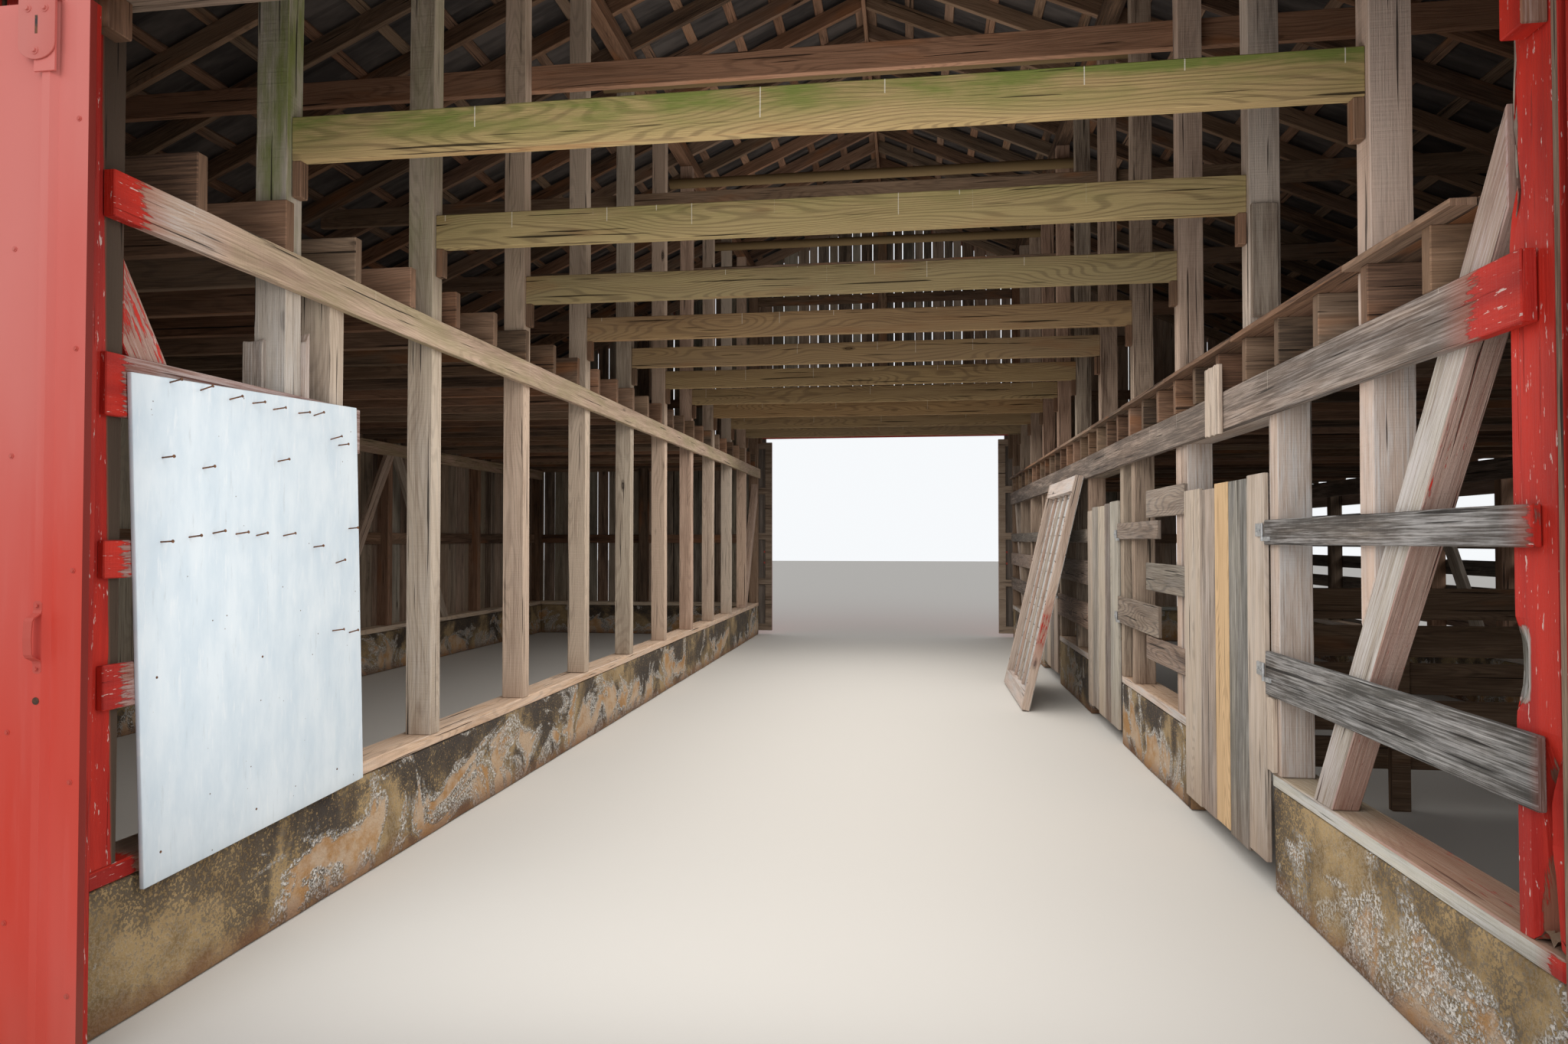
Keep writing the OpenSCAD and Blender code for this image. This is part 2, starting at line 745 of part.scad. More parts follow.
// Panel of upright battens on a steel sheet, with its foot on the ground
module leaning_panel() {
    edge = 60;
    panel_length = (right_ledger_bottom + 25) / cos(panel_lean);
    foot = ledger_face - panel_length * sin(panel_lean) - 0.3;
    gaps = 5;
    step = (panel_width - edge) / gaps;
    y0 = stall_starts[1] + stall_opening + panel_gap;
    color("silver") translate([foot, y0, 0]) rotate([0, panel_lean, 0]) {
        block([-sheet_thickness - 2, 0, 0], [0, panel_width, panel_length]);
        for (z = [0, panel_length - 150])
            block([-panel_depth, 0, z], [-2, panel_width, z + 150]);
        for (i = [0 : gaps])
            block([i == 0 || i == gaps ? -panel_depth : -40, i * step, 0],
                [-2, i * step + edge, panel_length]);
    }
}

// Sliding doors, drawn for the near left leaf and mirrored for the others
leaf_back = end_siding_face + leaf_wall_gap;
leaf_front = leaf_back + leaf_frame_thickness;
leaf_top = leaf_ground_gap + leaf_height;
track_bottom = leaf_top + 60;
track_middle = leaf_back + leaf_frame_thickness / 2;
wheel_height = track_bottom + track_wall + wheel_radius + 0.3;
hanger_inset = rib_start(leaf_width);
hanger_thickness = 6;
track_reach = leaf_width + aisle_face + 100;

module leaf_skin(edge) {
    translate([-edge - leaf_width, -leaf_front, leaf_ground_gap]) mirror([0, 1, 0])
        linear_extrude(leaf_height) polygon(sheet_outline(leaf_width));
    for (x = [-edge - leaf_width + hanger_inset, -edge - hanger_inset]) hanger(x);
}

module hanger(x) {
    front = -leaf_front - rib_height;
    top = leaf_top + hanger_thickness;
    block([x - 35, front - hanger_thickness, leaf_top - 220], [x + 35, front, top]);
    block([x - 35, front - hanger_thickness, leaf_top], [x + 35, -track_middle + 4, top]);
    block([x - 35, -track_middle - 4, leaf_top], [x + 35, -track_middle + 4, wheel_height + 10]);
    for (w = [x - 45, x + 45]) translate([w, -track_middle, wheel_height]) rotate([90, 0, 0]) {
        cylinder(r = 8, h = 42, center = true, $fn = 32);
        for (s = [-1, 1]) translate([0, 0, s * 14.5])
            cylinder(r = wheel_radius, h = 13, center = true, $fn = 48);
    }
    block([x - 55, -track_middle - 4, wheel_height - 10], [x + 55, -track_middle + 4, wheel_height + 10]);
}

module leaf_frame(edge) {
    stile = 110;
    step_x = (leaf_width - stile) / 2;
    step_z = (leaf_height - stile) / 4;
    difference() {
        block([-edge - leaf_width, -leaf_front, leaf_ground_gap], [-edge, -leaf_back, leaf_top]);
        for (i = [0 : 1], j = [0 : 3]) {
            x = -edge - leaf_width + stile + i * step_x;
            z = leaf_ground_gap + stile + j * step_z;
            block([x, -leaf_front - 1, z], [x + step_x - stile, -leaf_back + 1, z + step_z - stile]);
        }
    }
}

module door_track() {
    m = track_middle;
    h = track_size / 2;
    s = track_slot / 2;
    w = track_wall;
    b = track_bottom;
    t = track_bottom + track_size;
    long_slab([[-m - h, b], [-m - s, b], [-m - s, b + w], [-m - h + w, b + w], [-m - h + w, t - w],
        [-m + h - w, t - w], [-m + h - w, b + w], [-m + s, b + w], [-m + s, b], [-m + h, b],
        [-m + h, t], [-m - h, t]], -track_reach, track_reach);
    for (x = [-track_reach + 60 : (2 * track_reach - 120) / 8 : track_reach - 59])
        block([x - 20, -m + h, t - 40], [x + 20, -end_siding_face, t + 40]);
}

module door_tracks() {
    color("firebrick") both_ends() mirror([0, 1, 0]) door_track();
}

module near_left_door() {
    color("red") leaf_skin(near_left_leaf_edge);
}

module near_left_door_frame() {
    color("firebrick") leaf_frame(near_left_leaf_edge);
}

module near_right_door() {
    color("red") mirror([1, 0, 0]) leaf_skin(near_right_leaf_edge);
}

module near_right_door_frame() {
    color("firebrick") mirror([1, 0, 0]) leaf_frame(near_right_leaf_edge);
}

module far_left_door() {
    color("red") mirror([0, 1, 0]) leaf_skin(far_leaf_edge);
}

module far_left_door_frame() {
    color("firebrick") mirror([0, 1, 0]) leaf_frame(far_leaf_edge);
}

module far_right_door() {
    color("red") mirror([0, 1, 0]) mirror([1, 0, 0]) leaf_skin(far_leaf_edge);
}

module far_right_door_frame() {
    color("firebrick") mirror([0, 1, 0]) mirror([1, 0, 0]) leaf_frame(far_leaf_edge);
}

// Stall doors and their hinges
hinge_x = rail_face - 7;
hinge_gap = 0.3;
hinge_knuckle = hinge_pin_radius + hinge_gap + 2;

module stall_hinge_pins() {
    color("dimgray") for (s = stall_starts, z = [lower_rail_height, upper_rail_height]) {
        y = s + stall_door_gap / 2;
        translate([hinge_x, y, z - 40]) cylinder(r = hinge_pin_radius, h = 80, $fn = 32);
        translate([hinge_x, y, z - 40]) cylinder(r = hinge_knuckle, h = 19, $fn = 32);
        block([hinge_x, s - 70, z - 40], [rail_face, y, z - 21]);
    }
}

module stall_door(s) {
    y0 = s + stall_door_gap;
    y1 = s + stall_opening - stall_door_gap;
    color("silver") {
        block([rail_face, y0, stall_door_bottom], [aisle_face, y1, stall_door_top]);
        for (z = [350, 1500])
            block([aisle_face, y0 + 60, z], [aisle_face + board_thickness, y1 - 60, z + 120]);
        for (z = [lower_rail_height, upper_rail_height]) {
            difference() {
                union() {
                    translate([hinge_x, s + stall_door_gap / 2, z - 20])
                        cylinder(r = hinge_knuckle, h = 60, $fn = 32);
                    block([hinge_x, s + stall_door_gap / 2, z - 20], [rail_face, y0 + 80, z + 40]);
                }
                translate([hinge_x, s + stall_door_gap / 2, z - 21])
                    cylinder(r = hinge_pin_radius + hinge_gap, h = 62, $fn = 32);
            }
        }
    }
}

module stall_door_1() {
    stall_door(stall_starts[0]);
}

module stall_door_2() {
    stall_door(stall_starts[1]);
}

module stall_door_3() {
    stall_door(stall_starts[2]);
}

aisle_stem_walls();
side_stem_walls();
end_stem_walls();
sills();
aisle_posts();
ledger_studs();
ledgers();
loft_joists();
loft_planks();
cross_beams();
beam_cleats();
tie_beams();
roof_poles();
roof_plates();
outer_posts();
doorway_posts();
doorway_headers();
girts();
braces();
ridge_board();
rafters();
roof_laths();
roof_sheets();
ridge_cap();
gable_sides();
gable_tops();
side_siding();
wall_slats();
aisle_rails();
notice_board();
stall_partition();
leaning_panel();
door_tracks();
stall_hinge_pins();
near_left_door();
near_left_door_frame();
near_right_door();
near_right_door_frame();
far_left_door();
far_left_door_frame();
far_right_door();
far_right_door_frame();
stall_door_1();
stall_door_2();
stall_door_3();
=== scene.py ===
import json
import math
import random
from contextlib import contextmanager

import bmesh
import bpy
from mathutils import Matrix, Vector, noise


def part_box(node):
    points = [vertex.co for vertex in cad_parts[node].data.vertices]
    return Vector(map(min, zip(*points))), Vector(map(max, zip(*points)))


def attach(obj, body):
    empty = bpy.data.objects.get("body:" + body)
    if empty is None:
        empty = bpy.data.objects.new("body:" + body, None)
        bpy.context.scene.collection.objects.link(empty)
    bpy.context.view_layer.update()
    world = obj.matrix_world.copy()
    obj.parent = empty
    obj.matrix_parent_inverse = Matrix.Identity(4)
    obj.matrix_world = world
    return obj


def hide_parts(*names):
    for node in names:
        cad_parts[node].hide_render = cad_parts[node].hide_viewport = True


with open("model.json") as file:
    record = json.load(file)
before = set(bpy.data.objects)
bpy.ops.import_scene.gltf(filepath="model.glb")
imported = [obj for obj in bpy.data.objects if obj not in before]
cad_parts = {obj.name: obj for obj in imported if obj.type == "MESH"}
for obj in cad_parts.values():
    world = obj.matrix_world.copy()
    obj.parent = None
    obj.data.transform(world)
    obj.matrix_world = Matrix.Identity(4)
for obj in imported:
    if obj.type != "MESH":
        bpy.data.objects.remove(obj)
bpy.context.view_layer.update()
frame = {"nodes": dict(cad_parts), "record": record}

# Noise vectors follow a seed that comes from the clock unless it is set.
noise.seed_set(1)

# The barn in metres: x across, y from the near end to the far end, z up from the ground.
HALF_LENGTH = 6.325
AISLE_FACE = 2.04
OUTER_FACE = 5.925
DOORWAY_TOP = 3.25
SIDING_FOOT = 0.415
SIDING_THICK = 0.025
SLATS_TOP = 2.33
ROOF_SLOPE = math.radians(24)
PLATE_TOP = 4.35
PLATE_EDGE = 5.76
RAFTER_DEPTH = 0.14
FIRST_POST = -5.35
POST_PITCH = 1.165
STALL_STARTS = (-4.455, -1.455, 1.545)
STALL_OPENING = 1.24
LEAVES = ("near_left", "near_right", "far_left", "far_right")
ACROSS, ALONG, UP = range(3)


# Finishes

class Finish:
    """A node material, with short calls for the nodes that these finishes use."""

    def __init__(self, name, rough=0.85):
        self.mat = bpy.data.materials.new(name)
        self.mat.use_nodes = True
        self.tree = self.mat.node_tree
        self.surface = self.tree.nodes["Principled BSDF"]
        self.surface.inputs["Roughness"].default_value = rough
        self.surface.inputs["Specular IOR Level"].default_value = 0.25

    def add(self, kind, **values):
        node = self.tree.nodes.new(kind)
        for key, value in values.items():
            setattr(node, key, value)
        return node

    def put(self, socket, value):
        if isinstance(value, bpy.types.NodeSocket):
            self.tree.links.new(value, socket)
        elif isinstance(value, (tuple, list)) and len(value) == 3 and socket.type == "RGBA":
            socket.default_value = (*value, 1)
        else:
            socket.default_value = value

    def maths(self, op, *values):
        node = self.add("ShaderNodeMath", operation=op)
        for socket, value in zip(node.inputs, values):
            self.put(socket, value)
        return node.outputs[0]

    def times(self, a, b):
        return self.maths("MULTIPLY", a, b)

    def plus(self, a, b):
        return self.maths("ADD", a, b)

    def minus(self, a, b):
        return self.maths("SUBTRACT", a, b)

    def times_plus(self, a, b, c):
        """a times b, plus c."""
        return self.maths("MULTIPLY_ADD", a, b, c)

    def clamp(self, a):
        node = self.add("ShaderNodeClamp")
        self.put(node.inputs[0], a)
        return node.outputs[0]

    def band(self, value, low, high, to_low=0.0, to_high=1.0):
        """value from low to high, smoothly made to_low to to_high."""
        node = self.add("ShaderNodeMapRange", interpolation_type="SMOOTHSTEP")
        for socket, number in zip(node.inputs, (value, low, high, to_low, to_high)):
            self.put(socket, number)
        return node.outputs[0]

    def fall(self, value, low, high):
        """1 up to low, smoothly down to 0 at high."""
        return self.band(value, low, high, 1.0, 0.0)

    def blend(self, amount, a, b, kind="MIX"):
        node = self.add("ShaderNodeMix", data_type="RGBA", blend_type=kind, clamp_factor=True)
        self.put(node.inputs[0], amount)
        self.put(node.inputs[6], a)
        self.put(node.inputs[7], b)
        return node.outputs[2]

    def over(self, base, where, colour, share=1.0):
        """base, with that share of colour laid over it where the mask is 1."""
        return self.blend(where if share == 1.0 else self.times(where, share), base, colour)

    def spot(self):
        return self.add("ShaderNodeTexCoord").outputs["Object"]

    def along(self):
        return self.add("ShaderNodeUVMap", uv_map="grain").outputs["UV"]

    def apart(self, vector):
        node = self.add("ShaderNodeSeparateXYZ")
        self.put(node.inputs[0], vector)
        return node.outputs

    def stretch(self, vector, scale, shift=(0, 0, 0)):
        node = self.add("ShaderNodeMapping")
        self.put(node.inputs["Vector"], vector)
        node.inputs["Scale"].default_value = scale
        node.inputs["Location"].default_value = shift
        return node.outputs[0]

    def cloud(self, vector, scale, detail=3.0, rough=0.55, bend=0.0):
        node = self.add("ShaderNodeTexNoise")
        self.put(node.inputs["Vector"], vector)
        node.inputs["Scale"].default_value = scale
        node.inputs["Detail"].default_value = detail
        node.inputs["Roughness"].default_value = rough
        node.inputs["Distortion"].default_value = bend
        return node.outputs["Fac"]

    def cells(self, vector, scale, randomness=1.0):
        """Round cells. Returns the sockets for the distance from a cell's middle and for its own colour."""
        node = self.add("ShaderNodeTexVoronoi", feature="F1")
        self.put(node.inputs["Vector"], vector)
        node.inputs["Scale"].default_value = scale
        node.inputs["Randomness"].default_value = randomness
        return node.outputs["Distance"], node.outputs["Color"]

    def mark(self, name):
        """The four numbers kept on the mesh under that name."""
        node = self.add("ShaderNodeAttribute", attribute_name=name)
        split = self.add("ShaderNodeSeparateColor")
        self.tree.links.new(node.outputs["Color"], split.inputs[0])
        return split.outputs[0], split.outputs[1], split.outputs[2], node.outputs["Alpha"]

    def finish(self, colour, height=None, distance=0.0, rough=None):
        """The material with that colour, with bumps as deep as distance where a height is given."""
        self.put(self.surface.inputs["Base Color"], colour)
        if rough is not None:
            self.put(self.surface.inputs["Roughness"], rough)
        if height is not None:
            node = self.add("ShaderNodeBump")
            node.inputs["Strength"].default_value = 1.0
            node.inputs["Distance"].default_value = distance
            self.put(node.inputs["Height"], height)
            self.put(self.surface.inputs["Normal"], node.outputs[0])
        return self.mat


def scaled(colour, share):
    return tuple(min(1.0, c * share) for c in colour)


RED = (0.60, 0.030, 0.016)
DEEP_RED = (0.36, 0.016, 0.012)
CHALKY_RED = (0.80, 0.30, 0.24)
RED_HAZE = (0.36, 0.10, 0.065)
PRIMER = (0.74, 0.60, 0.56)
BLEACHED = (0.55, 0.55, 0.56)
MOSS = (0.185, 0.22, 0.055)
OLD_DRIP = (0.70, 0.66, 0.56)
EARTH_AND_SHADE = (0.23, 0.13, 0.075)
WATER_STAIN = (0.34, 0.13, 0.045)


def arched_grain(f, uv):
    """Wide bands along the timber that sway, as in flat-sawn wood."""
    along, across, _ = f.apart(uv)
    sway = f.cloud(f.stretch(uv, (0.75, 5.0, 1)), 1.0, 1.0, 0.4)
    join = f.add("ShaderNodeCombineXYZ")
    f.put(join.inputs[0], f.times(along, 0.08))
    f.put(join.inputs[1], f.times_plus(sway, 0.55, across))
    wave = f.add("ShaderNodeTexWave", wave_type="BANDS", bands_direction="Y", wave_profile="SIN")
    f.put(wave.inputs["Vector"], join.outputs[0])
    wave.inputs["Scale"].default_value = 14.0
    wave.inputs["Distortion"].default_value = 1.5
    wave.inputs["Detail"].default_value = 2.0
    return wave.outputs["Fac"]


def knots(f, uv):
    """Ringed knots, in about half of the cells along a timber."""
    away, own_colour = f.cells(f.stretch(uv, (1.0, 3.4, 1)), 1.5, 0.9)
    chosen = f.band(f.apart(own_colour)[0], 0.45, 0.5)
    rings = f.maths("SINE", f.times(away, 170.0))
    near = f.times(f.fall(away, 0.035, 0.12), chosen)
    return f.clamp(f.times(near, f.times_plus(rings, 0.18, 0.85)))


def drips_from_edge(f, uv, own, depth):
    """Thin drips that run down from the upper edge, each with its own place and length."""
    along = f.times(f.plus(f.apart(uv)[0], 0.37), 3.1)
    drawn = f.add("ShaderNodeTexWhiteNoise", noise_dimensions="1D")
    f.put(drawn.inputs["W"], f.plus(f.maths("FLOOR", along), f.times(own, 71.0)))
    size = f.apart(drawn.outputs["Color"])
    line = f.times_plus(drawn.outputs["Value"], 0.8, 0.1)
    thin = f.fall(f.maths("ABSOLUTE", f.minus(f.maths("FRACT", along), line)), 0.003, 0.009)
    long = f.maths("LESS_THAN", depth, f.times(size[1], 0.12))
    some = f.maths("GREATER_THAN", size[2], 0.5)
    return f.times(f.times(thin, long), some)


def paint_cover(f, uv, paint, damp, wear):
    """1 where the paint still holds. It has flaked along the grain."""
    flake = f.cloud(f.stretch(uv, (9.0, 80, 1), (2, 6, 0)), 1.0, 6.0, 0.74)
    ragged = f.plus(f.times(f.minus(flake, 0.5), 2.4 * wear), f.times(f.minus(damp, 0.5), wear))
    cover = f.plus(f.times_plus(paint, 1.5, -0.75 - 0.35 * wear), ragged)
    return f.band(cover, -0.03, 0.06)


def red_coat(f, uv, patch, broad, streak):
    """The colours of the paint itself: two reds, chalky streaks and small pale flecks."""
    cloudy = f.times_plus(patch, 0.6, f.times(broad, 0.5))
    red = f.blend(f.band(cloudy, 0.4, 0.7), DEEP_RED, RED)
    red = f.over(red, f.band(streak, 0.64, 0.72), CHALKY_RED, 0.5)
    fleck = f.cloud(f.stretch(uv, (13, 70, 1), (7, 7, 0)), 1.0, 3.0, 0.75)
    return f.over(red, f.band(fleck, 0.63, 0.66), PRIMER, 0.8)


def timber_finish(name, pale, middle, dark, grey, drips=0.35, wear=0.5, saw=1.0, stain=0.0, figured=0.3):
    """Rough sawn timber. The marks on the mesh are board (tone, greyness, red paint, green growth, or
    bleaching where that is below 0) and place (depth under the upper edge, end grain, own number, dirt and
    painted shade)."""
    f = Finish(name, 0.88)
    uv = f.along()
    tone, greyness, paint, growth = f.mark("board")
    depth, end, own, dirt = f.mark("place")
    streak = f.cloud(f.stretch(uv, (3.0, 130, 1)), 1.0, 5.0, 0.72)
    broad = f.cloud(f.stretch(uv, (1.1, 13, 1)), 1.0, 3.0, 0.6)
    patch = f.cloud(f.stretch(uv, (0.8, 3, 1), (9, 1, 0)), 1.0, 3.0, 0.6)
    damp = f.cloud(f.stretch(uv, (1.6, 7, 1), (1, 4, 0)), 1.0, 4.0, 0.65)
    knot = knots(f, uv)
    # bare wood, from dark to pale
    lightness = f.times_plus(broad, 1.1, f.times_plus(tone, 0.75, -1.2))
    lightness = f.plus(f.times(streak, 1.45), lightness)
    wood = f.blend(f.band(lightness, 0.05, 0.48), dark, middle)
    wood = f.over(wood, f.band(lightness, 0.42, 0.95), pale)
    wood = f.over(wood, f.band(arched_grain(f, uv), 0.5, 1.0), dark, figured)
    # grey wood, in patches
    aged = f.blend(f.band(lightness, 0.0, 0.95), scaled(grey, 0.28), scaled(grey, 1.35))
    wood = f.over(wood, f.clamp(f.times(greyness, f.band(patch, 0.25, 0.6, 0.5, 1.0))), aged)
    # each timber has a tint of its own
    tint = f.blend(own, (1.16, 0.94, 0.84), (0.92, 1.0, 0.98))
    wood = f.blend(0.8, wood, tint, "MULTIPLY")
    if stain:
        wood = f.over(wood, f.band(patch, 0.56, 0.7), WATER_STAIN, stain)
    wood = f.over(wood, knot, scaled(dark, 0.35))
    wood = f.over(wood, end, scaled(middle, 0.75), 0.45)
    # green growth from damp, and wood bleached by sun and rain
    wood = f.over(wood, f.clamp(f.times(growth, f.band(damp, 0.33, 0.68))), MOSS)
    dry = f.band(f.times_plus(streak, 1.5, damp), 1.08, 1.55, 0.05, 1.0)
    wood = f.over(wood, f.times(f.clamp(f.times(growth, -1.0)), dry), BLEACHED, 0.8)
    if drips:
        wood = f.over(wood, drips_from_edge(f, uv, own, depth), OLD_DRIP, drips)
    # earth colour where the mark says: real dirt, and painted shade on the beams further from the near
    # doorway
    wood = f.over(wood, dirt, EARTH_AND_SHADE, 0.6)
    # long drying cracks
    crack = f.band(f.cloud(f.stretch(uv, (1.0, 46, 1), (3, 8, 0)), 1.0, 2.0, 0.5), 0.655, 0.70)
    wood = f.over(wood, crack, scaled(dark, 0.12), 0.85)
    # red paint, and a haze of it in the wood where it has worn off
    wood = f.over(wood, f.band(f.times_plus(damp, 0.3, paint), 0.32, 0.8), RED_HAZE, 0.5)
    painted = paint_cover(f, uv, paint, damp, wear)
    colour = f.over(wood, painted, red_coat(f, uv, patch, broad, streak))
    height = f.times_plus(knot, 0.5, f.plus(f.times(streak, 0.8), f.times(crack, -1.6)))
    if saw:
        saw_marks = f.cloud(f.stretch(uv, (95, 2.5, 1), (5, 2, 0)), 1.0, 1.0, 0.6)
        height = f.times_plus(saw_marks, 0.4 * saw, height)
    height = f.times_plus(painted, 0.25, height)
    return f.finish(colour, height, 0.005, f.times_plus(painted, -0.32, 0.9))


def concrete_finish():
    """Old board-marked concrete: brown and tan, black growth, ochre islands with a white rim, wet foot."""
    f = Finish("stained_concrete", 0.9)
    spot = f.spot()
    x, y, z = f.apart(spot)
    grain = f.cloud(spot, 85.0, 3.0, 0.65)
    mottle = f.cloud(spot, 6.0, 5.0, 0.65)
    broad = f.cloud(spot, 1.4, 4.0, 0.6, 0.6)
    colour = f.blend(f.band(mottle, 0.35, 0.65), (0.20, 0.135, 0.065), (0.40, 0.285, 0.145))
    colour = f.over(colour, f.band(grain, 0.45, 0.62), (0.52, 0.43, 0.31), 0.45)
    # the walls' near ends are cleaner
    left_end = f.times(f.fall(y, -5.7, -5.3), f.fall(x, -1.0, 0.0))
    right_end = f.times(f.fall(y, -4.7, -4.3), f.band(x, 0.0, 1.0))
    # black growth, in specks that close up to a crust
    thick = f.band(f.plus(broad, f.times(z, 0.16)), 0.42, 0.62)
    thick = f.clamp(f.times_plus(left_end, -0.35, f.times_plus(right_end, -0.45, thick)))
    specks = f.band(f.times_plus(thick, 0.20, grain), 0.56, 0.61)
    colour = f.over(colour, f.times(specks, f.times_plus(thick, 0.55, 0.35)), (0.030, 0.027, 0.030))
    # islands where the face has spalled, tan and ochre, with white salts at the rim
    island = f.cloud(f.stretch(spot, (1, 1, 1.25), (4, 2.7, 1)), 1.75, 5.0, 0.62, 1.1)
    reach = f.times_plus(f.band(z, 0.16, 0.44), -0.14, island)
    reach = f.times_plus(left_end, -0.12, f.times_plus(right_end, 0.02, reach))
    inside = f.band(reach, 0.50, 0.515)
    ochre = f.blend(f.band(mottle, 0.42, 0.62), (0.56, 0.42, 0.30), (0.43, 0.235, 0.095))
    colour = f.over(colour, inside, ochre, 0.85)
    from_rim = f.maths("ABSOLUTE", f.minus(reach, 0.495))
    rim = f.times(f.fall(from_rim, 0.012, f.times_plus(right_end, 0.05, 0.055)), f.band(grain, 0.40, 0.58))
    colour = f.over(colour, rim, (0.76, 0.73, 0.69), 0.95)
    # rust-brown earth at the foot
    colour = f.over(colour, f.fall(f.times_plus(mottle, 0.16, z), 0.08, 0.2), (0.21, 0.10, 0.05), 0.7)
    height = f.plus(f.times(grain, 0.6), f.times(mottle, 1.2))
    height = f.times_plus(inside, -0.8, f.times_plus(rim, 0.7, height))
    return f.finish(colour, height, 0.010, 0.92)


def steel_finish(name, colour, faded, rust, coat=0.45, metal=0.0, rust_at=0.62, fade=0.3, soil=0.35,
                 backing=None):
    """A coated sheet with faded patches, chalky streaks, soil low down and rust in spots. backing is the
    colour of its side towards the barn, where it has one."""
    f = Finish(name, coat)
    spot = f.spot()
    _, y, z = f.apart(spot)
    broad = f.cloud(f.stretch(spot, (2.0, 2.0, 0.35)), 1.0, 3.0, 0.55)
    fine = f.cloud(f.stretch(spot, (26, 26, 2.0)), 1.0, 4.0, 0.6)
    spots = f.cloud(spot, 14.0, 5.0, 0.7)
    high = f.band(z, 1.0, 3.2)
    base = f.blend(f.band(f.times_plus(high, fade, broad), 0.4, 1.0), colour, faded)
    base = f.over(base, f.times(f.band(fine, 0.5, 0.75), f.times_plus(high, 0.2, 0.12)), faded)
    foot = f.fall(f.plus(z, f.times(spots, 0.25)), 0.15, 0.6)
    base = f.over(base, foot, (0.22, 0.11, 0.07), soil)
    rusty = f.band(spots, rust_at, rust_at + 0.07)
    base = f.over(base, rusty, rust)
    if backing:
        facing = f.apart(f.add("ShaderNodeNewGeometry").outputs["Normal"])[1]
        dusty = f.blend(f.band(fine, 0.35, 0.7), scaled(backing, 0.55), backing)
        base = f.over(base, f.fall(f.times(facing, y), -2.5, -1.0), dusty)
    f.surface.inputs["Metallic"].default_value = metal
    height = f.times_plus(rusty, 0.4, f.times(fine, 0.15))
    return f.finish(base, height, 0.002, f.times_plus(rusty, 0.35, coat))


def roof_finish():
    """Dull zinc sheets with laps across and rust that runs from the laps."""
    f = Finish("zinc_roof_sheets", 0.5)
    spot = f.spot()
    broad = f.cloud(f.stretch(spot, (0.7, 1.6, 0.7)), 1.0, 4.0, 0.6)
    base = f.blend(f.band(broad, 0.3, 0.7), (0.20, 0.20, 0.195), (0.46, 0.46, 0.45))
    _, bloom = f.cells(spot, 22.0)
    base = f.over(base, f.apart(bloom)[0], (0.55, 0.56, 0.56), 0.25)
    runs = f.cloud(f.stretch(spot, (0.8, 9.0, 0.8), (3, 1, 0)), 1.0, 5.0, 0.65)
    from_ridge = f.plus(f.maths("ABSOLUTE", f.apart(spot)[0]), 0.15)
    lap = f.maths("FRACT", f.maths("DIVIDE", from_ridge, 2.25))
    rusty = f.band(f.times_plus(f.fall(lap, 0.0, 0.4), 0.13, runs), 0.6, 0.72)
    base = f.over(base, rusty, (0.17, 0.065, 0.03), 0.85)
    seam = f.fall(f.maths("ABSOLUTE", f.minus(lap, 0.004)), 0.0, 0.004)
    base = f.over(base, seam, (0.05, 0.05, 0.05), 0.6)
    f.surface.inputs["Metallic"].default_value = 0.35
    height = f.times_plus(rusty, 0.2, f.times(seam, -1.0))
    return f.finish(base, height, 0.002, f.times_plus(rusty, 0.3, 0.5))


def underside_finish():
    """The underside of the roof sheets, near black as painted shade."""
    f = Finish("dark_roof_underside", 0.7)
    patch = f.cloud(f.stretch(f.spot(), (0.9, 3.5, 0.9)), 1.0, 4.0, 0.65)
    return f.finish(f.blend(f.band(patch, 0.35, 0.68), (0.032, 0.027, 0.026), (0.10, 0.085, 0.078)))


def white_board_finish():
    """Blue-white paint with upright scuffs, small dark dots and a dull lower part."""
    f = Finish("scuffed_white_board", 0.55)
    spot = f.spot()
    haze = f.cloud(f.stretch(spot, (1, 9, 3.0)), 1.0, 4.0, 0.6)
    scuff = f.cloud(f.stretch(spot, (1, 34, 5.0)), 1.0, 5.0, 0.72)
    base = f.blend(f.band(haze, 0.3, 0.7), (0.56, 0.66, 0.75), (0.67, 0.75, 0.82))
    base = f.over(base, f.band(scuff, 0.55, 0.68), (0.75, 0.80, 0.85), 0.5)
    base = f.over(base, f.fall(scuff, 0.30, 0.42), (0.44, 0.50, 0.55), 0.35)
    low = f.fall(f.times_plus(haze, 0.3, f.apart(spot)[2]), 0.45, 0.85)
    base = f.over(base, low, (0.60, 0.58, 0.53), 0.15)
    from_dot, _ = f.cells(spot, 26.0)
    chosen = f.band(f.cloud(spot, 5.0, 1.0), 0.56, 0.6)
    base = f.over(base, f.times(f.fall(from_dot, 0.055, 0.085), chosen), (0.10, 0.07, 0.06))
    return f.finish(base, scuff, 0.0006, 0.5)


def iron_finish(name, dark, brown, metal=0.5, scale=40.0):
    """Bare metal, dark and brown in patches."""
    f = Finish(name, 0.6)
    patch = f.cloud(f.spot(), scale, 4.0, 0.6)
    f.surface.inputs["Metallic"].default_value = metal
    colour = f.blend(f.band(patch, 0.4, 0.65), dark, brown)
    return f.finish(colour, patch, 0.0008, f.times_plus(patch, 0.4, 0.4))


